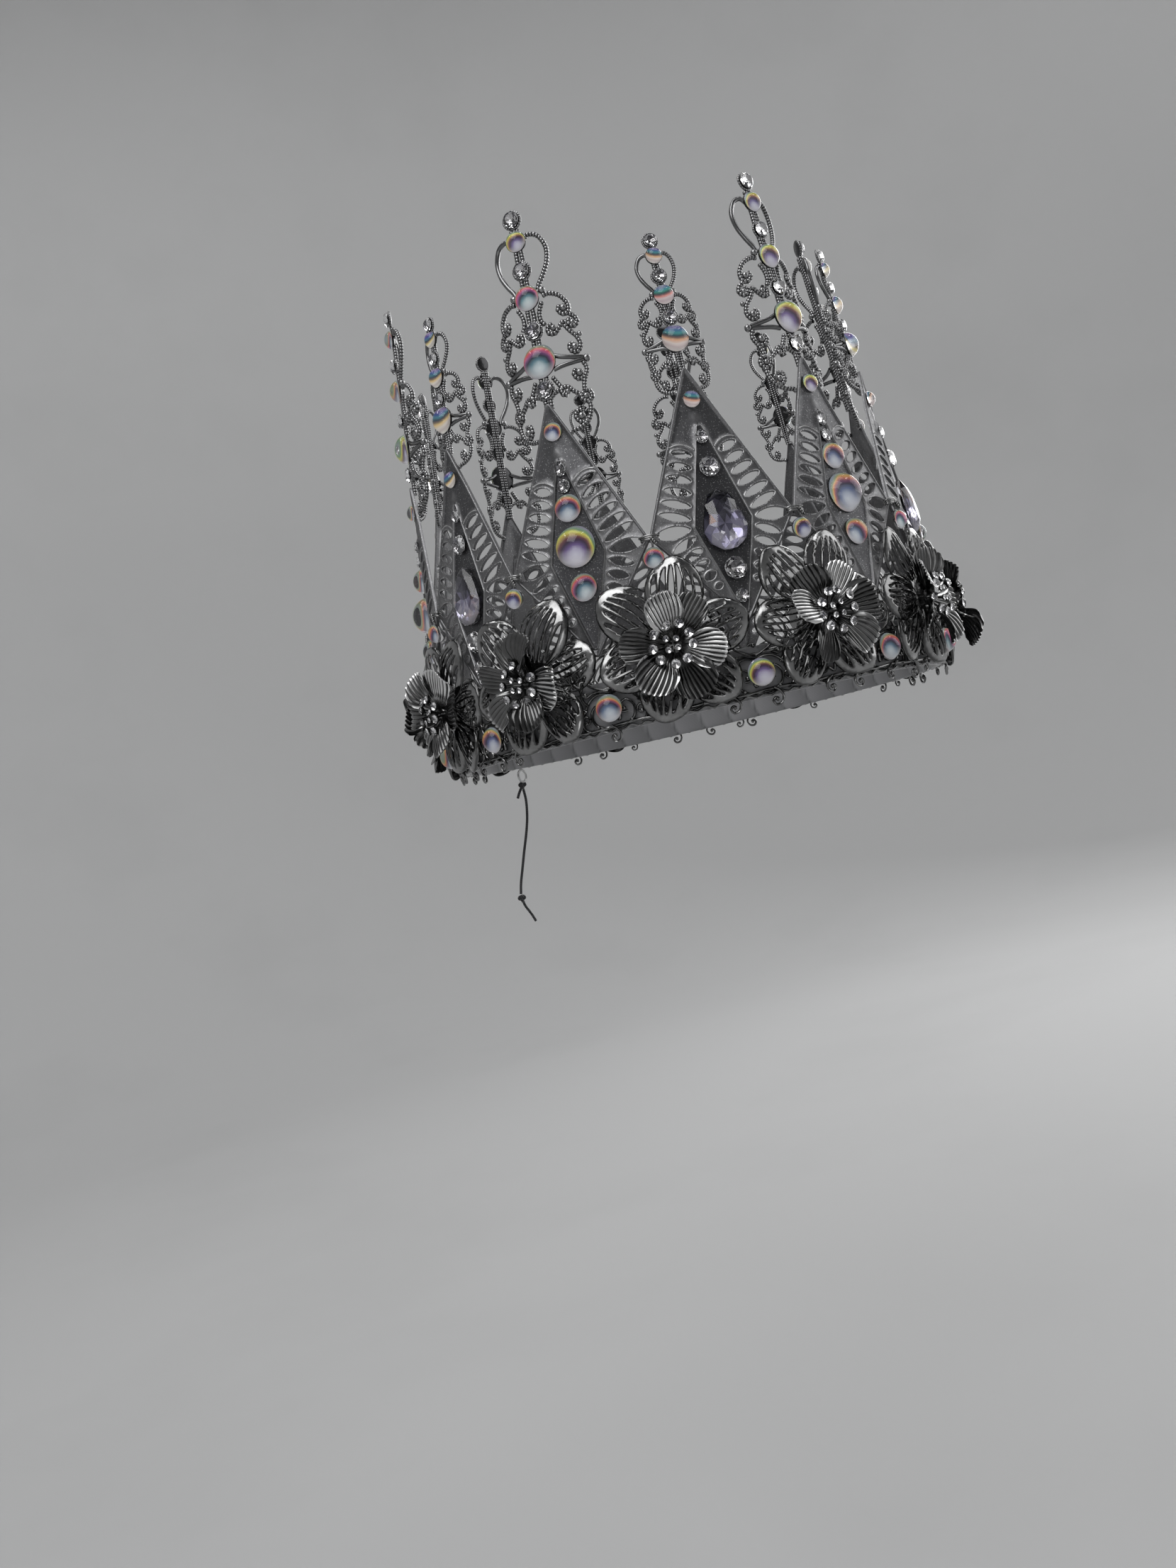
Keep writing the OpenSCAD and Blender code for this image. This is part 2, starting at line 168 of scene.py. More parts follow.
def tube(path, radius, sides=8, closed=False, up=(0, 0, 1), flat=1.0):
    """Points and faces of a round wire along path. radius is a number or one for each point."""
    path = np.asarray(path, float)
    n = len(path)
    radius = np.full(n, radius) if np.isscalar(radius) else np.asarray(radius)
    if closed:
        along = np.roll(path, -1, 0) - np.roll(path, 1, 0)
    else:
        along = np.gradient(path, axis=0)
    along /= np.linalg.norm(along, axis=1)[:, None] + 1e-12
    side = np.empty_like(path)
    s = np.cross(np.asarray(up, float), along[0])
    if np.linalg.norm(s) < 0.05:
        s = np.cross((1.0, 0.0, 0.0), along[0])
    for i in range(n):
        s = s - along[i] * np.dot(s, along[i])
        s /= np.linalg.norm(s) + 1e-12
        side[i] = s
    other = np.cross(along, side)
    a = np.linspace(0, 2 * math.pi, sides, endpoint=False)
    ring = (np.cos(a)[None, :, None] * side[:, None, :]
            + flat * np.sin(a)[None, :, None] * other[:, None, :])
    points = (path[:, None, :] + ring * radius[:, None, None]).reshape(-1, 3)
    faces = []
    for i in range(n if closed else n - 1):
        j = (i + 1) % n
        for k in range(sides):
            m = (k + 1) % sides
            faces.append([i * sides + k, i * sides + m, j * sides + m, j * sides + k])
    if not closed:
        faces.append([k for k in range(sides - 1, -1, -1)])
        faces.append([(n - 1) * sides + k for k in range(sides)])
    return points, faces


def beads(path, pitch, low=0.62):
    """Relative radius along path, swelling once every pitch."""
    s = np.concatenate([[0], np.cumsum(np.linalg.norm(np.diff(path, axis=0), axis=1))])
    return low + (1 - low) * np.abs(np.sin(math.pi * s / pitch)) ** 0.7


def ball_shape(level):
    bm = bmesh.new()
    bmesh.ops.create_icosphere(bm, subdivisions=level, radius=1.0)
    points = np.array([v.co[:] for v in bm.verts])
    faces = [[v.index for v in f.verts] for f in bm.faces]
    bm.free()
    return points, faces


BALLS = {level: ball_shape(level) for level in (1, 2, 3)}


def ball(parts, centre, radius, level=2, value=0.0, squash=1.0):
    points, faces = BALLS[level]
    parts.add(points * (radius, radius, radius * squash) + np.asarray(centre, float), faces, value)


def lathe(profile, sides):
    """Closed surface turned about Z from (radius, height) pairs that start and end on the axis."""
    rings = profile[1:-1]
    a = np.linspace(0, 2 * math.pi, sides, endpoint=False)
    points = [(0, 0, profile[0][1])]
    for r, z in rings:
        points += [(r * math.cos(t), r * math.sin(t), z) for t in a]
    points.append((0, 0, profile[-1][1]))
    faces = [[0, 1 + (k + 1) % sides, 1 + k] for k in range(sides)]
    for i in range(len(rings) - 1):
        b = 1 + i * sides
        for k in range(sides):
            m = (k + 1) % sides
            faces.append([b + k, b + m, b + sides + m, b + sides + k])
    b, top = 1 + (len(rings) - 1) * sides, len(points) - 1
    faces += [[b + k, b + (k + 1) % sides, top] for k in range(sides)]
    return np.array(points), faces


def disc_faces(rings, sides):
    """Faces of a disc: a point in the middle and rings of points round it."""
    faces = [[0, 1 + j, 1 + (j + 1) % sides] for j in range(sides)]
    for b in range(1, 1 + (rings - 1) * sides, sides):
        for j in range(sides):
            m = (j + 1) % sides
            faces.append([b + j, b + sides + j, b + sides + m, b + m])
    return faces


def zigzag(b, c, sides, odd):
    """Triangles between a ring that starts at b and the next one, at c, half a step round."""
    faces = []
    for j in range(sides):
        m = (j + 1) % sides
        if odd:
            faces += [[b + j, c + m, c + j], [b + j, b + m, c + m]]
        else:
            faces += [[b + j, b + m, c + j], [b + m, c + m, c + j]]
    return faces


def add_foil(parts, points, cells, tone, spread, place):
    """Separate flat triangles. tone gives a cell's painted light and shade, and spread a little
    chance on it.
    """
    tones = []
    for cell in cells:
        shade = tone([points[i] for i in cell]) + rng.uniform(-spread, spread)
        tones += [float(np.clip(shade, 0, 1))] * 3
    corners = [points[i] for cell in cells for i in cell]
    faces = [[3 * i, 3 * i + 1, 3 * i + 2] for i in range(len(cells))]
    parts.add(corners, faces, np.array(tones), place=place)


def near(points, others):
    """Distance from each 2-D point to the nearest of the others."""
    best = np.full(len(points), 1e9)
    for start in range(0, len(others), 400):
        o = others[start:start + 400]
        d = np.hypot(points[:, None, 0] - o[None, :, 0], points[:, None, 1] - o[None, :, 1])
        best = np.minimum(best, d.min(1))
    return best


def to_line(points, line, closed=False):
    """Distance from each 2-D point to a polyline."""
    a = np.asarray(line, float)[:, :2]
    b = np.roll(a, -1, 0)
    if not closed:
        a, b = a[:-1], b[:-1]
    best = np.full(len(points), 1e9)
    for p, q in zip(a, b):
        v = q - p
        t = np.clip(((points - p) @ v) / max(v @ v, 1e-12), 0, 1)
        best = np.minimum(best, np.hypot(*(points - p - t[:, None] * v).T))
    return best


def stamped(loops, extra, inside):
    """Triangles over a flat sheet. loops are its cut edges, extra the other points."""
    points, edges = [], []
    for loop in loops:
        first = len(points)
        points += [tuple(p[:2]) for p in loop]
        n = len(loop)
        edges += [(first + i, first + (i + 1) % n) for i in range(n)]
    points += [tuple(p[:2]) for p in extra]
    verts, _, tris, *_ = delaunay_2d_cdt([Vector(p) for p in points], edges, [], 0, 1e-5)
    flat = np.array([v[:] for v in verts])
    tris = np.array([t for t in tris if len(t) == 3])
    tris = tris[inside(flat[tris].mean(1))]
    area = np.cross(flat[tris[:, 1]] - flat[tris[:, 0]], flat[tris[:, 2]] - flat[tris[:, 0]])
    tris = tris[np.abs(area) > 1e-7]
    area = area[np.abs(area) > 1e-7]
    tris[area < 0] = tris[area < 0][:, ::-1]
    used = np.unique(tris)
    index = np.full(len(flat), -1)
    index[used] = np.arange(len(used))
    return flat[used], index[tris]


def thicken(front, back, tris):
    """Closes a front and a back surface that share their triangles."""
    n = len(front)
    directed = np.concatenate([tris[:, [0, 1]], tris[:, [1, 2]], tris[:, [2, 0]]])
    have = {(a, b) for a, b in directed.tolist()}
    walls = [[b, a, a + n, b + n] for a, b in have if (b, a) not in have]
    faces = tris.tolist() + (tris[:, ::-1] + n).tolist() + walls
    return np.concatenate([front, back]), faces


def grid(x0, x1, y0, y1, step):
    xs = np.arange(x0, x1 + step / 2, step)
    ys = np.arange(y0, y1 + step / 2, step * 0.866)
    rows = [np.stack([xs + (step / 2 if i % 2 else 0), np.full_like(xs, y)], 1)
            for i, y in enumerate(ys)]
    return np.concatenate(rows)


def smoothstep(x, a, b):
    t = np.clip((x - a) / (b - a), 0, 1)
    return t * t * (3 - 2 * t)


def bump(d, half):
    """A rounded bump, 1 at d = 0 and 0 from half outwards."""
    return np.cos(np.clip(np.abs(d) / half, 0, 1) * math.pi / 2) ** 2


# ---- materials ----------------------------------------------------------------------


class Look:
    """A Principled material and the few nodes that it needs."""

    def __init__(self, name):
        self.material = bpy.data.materials.new(name)
        self.material.use_nodes = True
        self.tree = self.material.node_tree
        self.tree.nodes.clear()
        self.out = self.tree.nodes.new("ShaderNodeOutputMaterial")
        self.shader = self.node("ShaderNodeBsdfPrincipled")
        self.tree.links.new(self.shader.outputs[0], self.out.inputs[0])
        self.coords = self.node("ShaderNodeTexCoord")

    def node(self, kind, **settings):
        n = self.tree.nodes.new(kind)
        for key, value in settings.items():
            setattr(n, key, value)
        return n

    def put(self, n, **values):
        for key, value in values.items():
            socket = n.inputs[int(key[1:])] if key[0] == "_" else n.inputs[key.replace("_", " ")]
            if isinstance(value, bpy.types.NodeSocket):
                self.tree.links.new(value, socket)
            else:
                socket.default_value = value
        return n

    def set(self, **values):
        self.put(self.shader, **values)
        return self

    def attribute(self, name, output="Fac"):
        return self.node("ShaderNodeAttribute", attribute_name=name).outputs[output]

    def noise(self, scale, detail=3.0, rough=0.55, vector=None):
        n = self.node("ShaderNodeTexNoise")
        self.put(n, Vector=vector or self.coords.outputs["Object"], Scale=scale, Detail=detail,
                 Roughness=rough)
        return n.outputs["Fac"]

    def ramp(self, value, stops, mode="LINEAR"):
        n = self.node("ShaderNodeValToRGB")
        n.color_ramp.interpolation = mode
        ramp = n.color_ramp.elements
        while len(ramp) < len(stops):
            ramp.new(0.5)
        for e, (at, colour) in zip(ramp, stops):
            e.position = at
            e.color = (*colour, 1) if len(colour) == 3 else colour
        self.put(n, Fac=value)
        return n.outputs["Color"]

    def range(self, value, low, high, start=0.0, end=1.0):
        n = self.node("ShaderNodeMapRange")
        self.put(n, _0=value, _1=start, _2=end, _3=low, _4=high)
        return n.outputs[0]

    def cloud(self, scale, detail, low, high):
        """Noise spread over low to high."""
        return self.range(self.noise(scale, detail), low, high, 0.3, 0.7)

    def shaded(self, base, scale, detail, low, high):
        """A colour made darker and lighter in patches."""
        shade = self.mix(self.cloud(scale, detail, low, high), grey(0.0), grey(1.0))
        return self.mix(1.0, base, shade, "MULTIPLY")

    def math(self, operation, a, b=0.0):
        n = self.node("ShaderNodeMath", operation=operation)
        self.put(n, _0=a, _1=b)
        return n.outputs[0]

    def mix(self, factor, a, b, blend="MIX"):
        n = self.node("ShaderNodeMix", data_type="RGBA", blend_type=blend)
        self.put(n, _0=factor, _6=a, _7=b)
        return n.outputs[2]

    def bump(self, height, distance, strength=1.0):
        n = self.node("ShaderNodeBump")
        self.put(n, Height=height, Distance=distance, Strength=strength)
        self.put(self.shader, Normal=n.outputs[0])
        return self


def grey(v, tint=0.0):
    """A slightly cool (tint > 0) or warm (tint < 0) grey."""
    return (v * (1 - tint), v, v * (1 + tint), 1)


def plate_look():
    k = Look("plate_satin")
    tone = k.attribute("tone")
    speck = k.ramp(k.noise(2400, 2), [(0.0, (0, 0, 0)), (0.6, (0, 0, 0)), (0.72, (1, 1, 1))])
    # tone 0 is the painted shade of the sunk diamond and panel, tone 1 the painted highlight of the
    # raised rims and ridges
    base = k.ramp(tone, [(0.0, (0.065, 0.065, 0.07)), (0.3, (0.12, 0.12, 0.125)),
                         (0.55, (0.18, 0.18, 0.185)), (1.0, (0.8, 0.8, 0.8))])
    base = k.shaded(base, 90, 4, 0.86, 1.12)
    base = k.mix(k.math("MULTIPLY", speck, 0.45), base, grey(0.7))
    k.set(Base_Color=base, Metallic=0.8, Roughness=k.cloud(700, 3, 0.34, 0.48))
    return k.bump(k.noise(1500, 4), 0.00005, 0.5).material


def finial_look():
    k = Look("finial_silver")
    tone = k.attribute("tone")
    # tone near 1 is the painted highlight on the beads, tone near 0 the painted shade between them
    base = k.ramp(tone, [(0.0, (0.015, 0.015, 0.016)), (0.5, (0.07, 0.07, 0.072)),
                         (1.0, (0.42, 0.42, 0.425))])
    base = k.shaded(base, 140, 3, 0.8, 1.1)
    k.set(Base_Color=base, Metallic=1.0, Roughness=k.cloud(900, 3, 0.14, 0.28))
    return k.bump(k.noise(2200, 3), 0.00004, 0.4).material


def flower_look(name, dark, light, low, high):
    k = Look(name)
    tone = k.attribute("tone")
    # on the flowers, tone carries painted shade towards 0 and painted highlight towards 1
    base = k.ramp(tone, [(0.0, (dark * 0.5,) * 3), (0.5, (dark,) * 3), (1.0, (light,) * 3)])
    base = k.shaded(base, 160, 4, 0.6, 1.1)
    k.set(Base_Color=base, Metallic=1.0, Roughness=k.cloud(420, 4, low, high))
    return k.bump(k.noise(500, 3), 0.00008, 0.35).material


def wire_look(name, low, high, rough):
    k = Look(name)
    tone = k.noise(380, 4)
    k.set(Base_Color=k.ramp(tone, [(0.3, (low,) * 3), (0.7, (high,) * 3)]), Metallic=1.0,
          Roughness=k.cloud(800, 3, rough * 0.8, rough * 1.3))
    return k.bump(k.noise(1200, 3), 0.00005, 0.4).material


def ribbon_look():
    k = Look("satin_ribbon")
    weave = k.node("ShaderNodeTexWave", wave_type="BANDS", bands_direction="Z")
    k.put(weave, Vector=k.coords.outputs["Object"], Scale=900.0, Distortion=0.4, Detail=1.0)
    tone = k.attribute("tone")
    # tone carries the painted shade and highlight of the lapped turns
    base = k.ramp(tone, [(0.0, (0.08, 0.08, 0.085)), (1.0, (0.26, 0.26, 0.27))])
    base = k.mix(k.cloud(60, 3, 0.0, 0.35), base, grey(0.18, 0.03))
    k.set(Base_Color=base, Metallic=0.0, Roughness=k.range(weave.outputs["Fac"], 0.36, 0.55),
          Sheen_Weight=0.5, Sheen_Roughness=0.3, Specular_IOR_Level=0.7)
    return k.bump(weave.outputs["Fac"], 0.00006, 0.5).material


def foil_look():
    """Iridescent foil seen through a cabochon, with painted light: a reflected horizon, a dark
    reflected middle, a bright lower part and a faint glow. spot is across, up and hue, each about 0
    to 1.
    """
    k = Look("iridescent_foil_painted_light")
    spot = k.node("ShaderNodeAttribute", attribute_name="spot")
    parts = k.node("ShaderNodeSeparateXYZ")
    k.put(parts, _0=spot.outputs["Vector"])
    x, y, hue = parts.outputs
    x, y = k.math("MULTIPLY", x, 1.2), k.math("MULTIPLY", y, 1.2)
    wobble = k.math("MULTIPLY", k.math("SUBTRACT", k.noise(240, 2), 0.5), 0.3)
    bowed = k.math("ADD", k.math("SUBTRACT", y, k.math("MULTIPLY", k.math("MULTIPLY", x, x), 0.2)),
                   wobble)
    # painted reflection of a horizon: pale below, dark and coloured above
    painted_horizon_reflection = k.ramp(k.range(bowed, 0.0, 1.0, -1.0, 1.0), [
        (0.0, (0.8, 0.76, 0.7)), (0.16, (0.62, 0.54, 0.5)), (0.3, (0.8, 0.72, 0.64)),
        (0.42, (0.8, 0.55, 0.24)), (0.5, (0.24, 0.17, 0.12)), (0.57, (0.05, 0.08, 0.11)),
        (0.66, (0.07, 0.28, 0.33)), (0.76, (0.07, 0.14, 0.4)), (0.87, (0.26, 0.18, 0.42)),
        (1.0, (0.4, 0.44, 0.52)),
    ])
    low = k.math("ADD", y, 0.36)
    away = k.math("SQRT", k.math("ADD", k.math("MULTIPLY", x, x), k.math("MULTIPLY", low, low)))
    # rainbow rings of the coating round a painted dark reflection in the middle
    rainbow_and_painted_light = k.ramp(k.math("MULTIPLY", k.math("ADD", away, wobble), 0.72), [
        (0.0, (0.55, 0.6, 0.66)), (0.2, (0.4, 0.44, 0.54)), (0.36, (0.1, 0.13, 0.28)),
        (0.5, (0.04, 0.035, 0.07)), (0.6, (0.2, 0.07, 0.14)), (0.68, (0.62, 0.2, 0.1)),
        (0.76, (0.85, 0.52, 0.13)), (0.85, (0.36, 0.48, 0.26)), (1.0, (0.42, 0.47, 0.55)),
    ])
    # painted light: the lower part of each foil made pale and bright
    painted_bright_bottom = k.range(k.math("ADD", y, wobble), 0.85, 0.0, -0.75, -0.1)
    rainbow_and_painted_light = k.mix(painted_bright_bottom, rainbow_and_painted_light, (0.64, 0.65, 0.68, 1))
    colour = k.mix(k.range(hue, 0.0, 1.0, 0.4, 0.46), rainbow_and_painted_light, painted_horizon_reflection)
    shifted = k.node("ShaderNodeHueSaturation")
    turn = k.node("ShaderNodeMath", operation="PINGPONG")
    k.put(turn, _0=k.math("MULTIPLY", hue, 5.0), _1=0.5)
    k.put(shifted, Hue=k.range(turn.outputs[0], 0.4, 0.6, 0.0, 0.5), Saturation=0.95, Value=1.0,
          Color=colour)
    base = shifted.outputs["Color"]
    # painted glow: the foil emits a little of its own colour though it is no lamp
    k.set(Base_Color=base, Metallic=0.0, Roughness=0.35, Specular_IOR_Level=0.3,
          Emission_Color=base, Emission_Strength=0.1)
    return k.bump(k.noise(300, 2), 0.0002, 0.3).material


def clear_look(name, tint, ior=1.5, rough=0.0):
    k = Look(name)
    cloud = k.noise(500, 2)
    k.set(Base_Color=k.mix(cloud, tint, (1, 1, 1, 1)), Transmission_Weight=1.0, IOR=ior,
          Roughness=k.cloud(900, 3, rough, rough + 0.03))
    return k.material


def mirror_look(name, stops, metallic):
    k = Look(name)
    base = k.ramp(k.attribute("tone"), stops)
    k.set(Base_Color=k.mix(k.cloud(300, 2, 0.0, 0.3), base, (0.3, 0.3, 0.36, 1)),
          Metallic=metallic, Roughness=0.08)
    return k.material


def cord_look():
    k = Look("black_elastic")
    weave = k.node("ShaderNodeTexWave", wave_type="BANDS", bands_direction="DIAGONAL")
    k.put(weave, Vector=k.coords.outputs["Object"], Scale=700.0, Distortion=1.5, Detail=2.0)
    base = k.ramp(weave.outputs["Fac"],
                  [(0.2, (0.006, 0.006, 0.007)), (0.9, (0.035, 0.035, 0.038))])
    k.set(Base_Color=base, Roughness=k.cloud(900, 3, 0.6, 0.85), Sheen_Weight=0.3)
    return k.bump(weave.outputs["Fac"], 0.00008, 0.6).material


def paper_look(name, value):
    k = Look(name)
    k.set(Base_Color=k.shaded(grey(value, 0.004), 3, 4, 0.96, 1.04), Roughness=0.85)
    return k.bump(k.noise(120, 4), 0.0004, 0.2).material


MATERIALS = {
    "plate_metal": plate_look(),
    "finial_metal": finial_look(),
    "flower_metal": flower_look("gunmetal", 0.14, 0.42, 0.15, 0.26),
    "petal_metal": flower_look("pleated_petal_painted_light", 0.17, 0.9, 0.14, 0.26),
    "filigree_metal": wire_look("dark_filigree", 0.08, 0.3, 0.2),
    "hoop_steel": wire_look("hoop_steel", 0.4, 0.6, 0.35),
    "tie_wire": wire_look("dark_wire", 0.1, 0.38, 0.25),
    "ribbon": ribbon_look(),
    "ab_glass": clear_look("cabochon_glass", (0.98, 0.97, 1.0, 1), 1.42),
    "foil": foil_look(),
    "crystal": clear_look("crystal_glass", (0.97, 0.97, 1.0, 1), 1.58),
    # the foil ramps turn tone, which is painted light, into dark to near-white foil
    "mirror": mirror_look("foil_back", [(0.0, (0.04, 0.04, 0.045)), (0.5, (0.3, 0.29, 0.28)),
                                        (1.0, (0.95, 0.94, 0.92))], 1.0),
    "pear_crystal": clear_look("pear_glass", (0.9, 0.88, 1.0, 1), 1.6),
    # painted reflections: dark with a brown-orange band at low tone, lilac to white at high tone
    "pear_mirror": mirror_look("pear_foil", [
        (0.0, (0.01, 0.01, 0.015)), (0.22, (0.05, 0.045, 0.07)), (0.27, (0.45, 0.17, 0.07)),
        (0.32, (0.06, 0.055, 0.09)), (0.6, (0.42, 0.4, 0.56)), (1.0, (1.0, 0.98, 1.0))], 0.5),
    "cord": cord_look(),
}


# ---- placement ----------------------------------------------------------------------

plate_lo, plate_hi = (c / MM for c in map(Vector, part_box("kite_plate_01")))
LEAN = math.radians(5)
PLATE_UP, PLATE_DOWN = 47.5, 29.5
SHEET_T = 0.8
RIM_H = 0.5
PLATE_W = plate_hi.x - plate_lo.x
SHOULDER_Z = plate_lo.z + PLATE_DOWN * math.cos(LEAN)
PLATE_R = -plate_lo.y - PLATE_DOWN * math.sin(LEAN) - (SHEET_T + RIM_H) * math.cos(LEAN)
SHOULDER_R = (PLATE_W + 0.3) / 2 / math.sin(math.radians(PITCH / 2))
FLOWER_R = SHOULDER_R + 0.9
flower_lo, flower_hi = (c / MM for c in map(Vector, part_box("lower_flower_01")))
FLOWER_Z = (flower_lo.z + flower_hi.z) / 2
band_hi = Vector(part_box("ribbon_wrap")[1]) / MM
RIBBON_R = band_hi.x
BAND_H = band_hi.z
PANEL_R = RIBBON_R + 0.1


def about(axis, degrees):
    return Matrix.Rotation(math.radians(degrees), 4, axis)


def turned(turns):
    return about("Z", PITCH * turns)


def at_spire(k):
    """x across spire k, y up it from its shoulders, z outwards."""
    return (turned(k - 1) @ Matrix.Translation((0, -PLATE_R * MM, SHOULDER_Z * MM))
            @ Matrix.Rotation(math.radians(90) - LEAN, 4, "X"))


def at_angle(turns, radius, z=0.0):
    return (turned(turns) @ Matrix.Translation((0, -radius * MM, z * MM))
            @ about("X", 90))


def in_mm(matrix):
    m = matrix.copy()
    m.translation = m.translation / MM
    return m


def shift(x=0.0, y=0.0, z=0.0):
    return Matrix.Translation((x, y, z))


def piece(name, mesh, material, nodes=(), matrix=None):
    obj = bpy.data.objects.new(name, mesh)
    if matrix is not None:
        obj.matrix_world = matrix
    if not mesh.materials:
        mesh.materials.append(MATERIALS[material])
    bpy.context.scene.collection.objects.link(obj)
    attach(obj, "root")
    if nodes:
        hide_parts(*nodes)
    return obj


def gathered(name, parts, sharp, material, nodes=()):
    """A piece made of all the small surfaces that parts has gathered."""
    return piece(name, parts.mesh(name, sharp=sharp), material, nodes)


NUMBERED = [(k, f"{k:02d}") for k in range(1, SPIRES + 1)]


def is_tall(k):
    return k % 2 == 1


# ---- cord ---------------------------------------------------------------------------


def braid(path, sides=16):
    """A braided cord: a tube whose skin rises and falls in two crossing spirals."""
    points, faces = tube(path, CORD_R, sides)
    s = np.concatenate([[0], np.cumsum(np.linalg.norm(np.diff(path, axis=0), axis=1))])
    a = np.linspace(0, 2 * math.pi, sides, endpoint=False)
    skin = 0.5 * (np.sin(4 * a[None, :] + s[:, None] * 6) * np.sin(4 * a[None, :] - s[:, None] * 6))
    scale = (1 + 0.07 * skin).reshape(-1)[:, None]
    centre = np.repeat(path, sides, axis=0)
    return centre + (points - centre) * scale, faces


def overhand(centre, size):
    """A small knot: a closed trefoil of cord."""
    t = np.linspace(0, 2 * math.pi, 60, endpoint=False)
    path = np.stack([np.sin(t) + 2 * np.sin(2 * t), np.cos(t) - 2 * np.cos(2 * t),
                     -1.3 * np.sin(3 * t)], 1) * size / 3
    turned_path = path[:, [0, 2, 1]] + np.asarray(centre, float)
    return tube(turned_path, CORD_R * 0.95, 10, closed=True)


cord_path = smooth_path(CORD_ROUTE, 0.3)
end_knot = np.array(CORD_ROUTE[-1]) - (0, 0, KNOT_R)
top_knot = np.array(CORD_ROUTE[0]) + (0, 0, KNOT_R)
knot_parts = Parts()
knot_parts.add(*overhand(top_knot, 1.2))
knot_parts.add(*overhand(end_knot, 1.2))
for start, points in (
    (end_knot, [end_knot, (-30.2, 80.9, -49.6), (-28.3, 81, -53), CORD_TAIL]),
    (top_knot, [top_knot, (-22.6, 78.9, -8.2), (-23.8, 79.3, -10.4)]),
):
    knot_parts.add(*braid(smooth_path(points, 0.4), 10))
knots = piece("cord_knots_tied", knot_parts.mesh("cord_knots_tied"), "cord", ["cord_knots"])
cord_parts = Parts()
cord_parts.add(*braid(cord_path))
cord = piece("tie_cord_braided", cord_parts.mesh("tie_cord_braided"), "cord", ["tie_cord"])


# ---- kite plates --------------------------------------------------------------------

DIAMOND_W, DIAMOND_DROP = 17.5, 15
LEAF_PITCH, FIRST_LEAF, LEAF_TILT = 3.6, 2.6, 24


def rounded_kite(w, up, down, inset, corner, step):
    """Outline of a kite moved inwards, with rounded corners."""
    upper, lower = math.hypot(w / 2, up), math.hypot(w / 2, down)
    inner_r = w * (up + down) / 2 / (upper + lower)
    centre = up - inner_r * upper / (w / 2)
    s = (inner_r - inset - corner) / inner_r
    corners = [np.array(c, float) for c in
               ((0, up), (w / 2, 0), (0, -down), (-w / 2, 0))]
    corners = [np.array((c[0] * s, centre + (c[1] - centre) * s)) for c in corners]
    out = []
    for i, c in enumerate(corners):
        before, after = corners[i - 1], corners[(i + 1) % 4]
        u, v = c - before, after - c
        n0 = np.array((-u[1], u[0])) / np.linalg.norm(u)
        n1 = np.array((-v[1], v[0])) / np.linalg.norm(v)
        a0, a1 = math.atan2(n0[1], n0[0]), math.atan2(n1[1], n1[0])
        while a1 > a0:
            a1 -= 2 * math.pi
        n = max(2, int((a0 - a1) * corner / (step * 0.6)))
        for t in np.linspace(a0, a1, n + 1):
            out.append(c + corner * np.array((math.cos(t), math.sin(t))))
        length = np.linalg.norm(v)
        count = int(length / step)
        start = c + n1 * corner
        for j in range(1, count):
            out.append(start + v * j / count)
    return np.array(out)


def edge_x(y):
    return PLATE_W / 2 * (1 - y / PLATE_UP if y > 0 else 1 + y / PLATE_DOWN)


def ridge_x(y):
    up = PLATE_UP - DIAMOND_DROP
    return DIAMOND_W / 2 * (max(0.0, 1 - y / up) if y > 0 else 1 + y / PLATE_DOWN)


def plate_leaves():
    """(x, y, length, width, tilt) of each leaf-shaped hole, fanning away from the shoulders."""
    out = []
    rows = [(0.0, 3.8, 0)]
    rows += [(FIRST_LEAF + LEAF_PITCH * i, 2.5, LEAF_TILT) for i in range(6)]
    rows += [(-FIRST_LEAF - LEAF_PITCH * i, 2.5, -LEAF_TILT) for i in range(5)]
    for y, width, tilt in rows:
        x0, x1 = ridge_x(y) + 1.0, edge_x(y) - 1.6
        slope = PLATE_W / 2 / (PLATE_UP if y > 0 else PLATE_DOWN)
        a = math.radians(tilt)
        length = (x1 - x0) / (math.cos(a) + slope * abs(math.sin(a)))
        x, y = x0 + length / 2 * math.cos(a), y + length / 2 * math.sin(a)
        for side in (1, -1):
            out.append((side * x, y, length, min(width, length * 0.8), side * tilt))
    return out


def leaf_local(points, leaf):
    x, y, length, _, tilt = leaf
    a = math.radians(tilt)
    d = points - (x, y)
    u = (d[:, 0] * math.cos(a) + d[:, 1] * math.sin(a)) / (length / 2)
    v = -d[:, 0] * math.sin(a) + d[:, 1] * math.cos(a)
    return u, v


def leaf_loop(leaf, grow, step):
    x, y, length, width, tilt = leaf
    n = max(8, int(length / step))
    t = np.linspace(0, math.pi, n + 1)
    u = -np.cos(t)
    half = width / 2 * (1 - u * u) ** 0.72
    top = np.stack([u * length / 2, half], 1)
    loop = np.concatenate([top, (top * (1, -1))[::-1][1:-1]])
    along = np.roll(loop, -1, 0) - np.roll(loop, 1, 0)
    normal = np.stack([-along[:, 1], along[:, 0]], 1)
    normal /= np.linalg.norm(normal, axis=1)[:, None]
    loop = loop + normal * grow
    a = math.radians(tilt)
    turn = np.array(((math.cos(a), math.sin(a)), (-math.sin(a), math.cos(a))))
    return loop @ turn + (x, y)


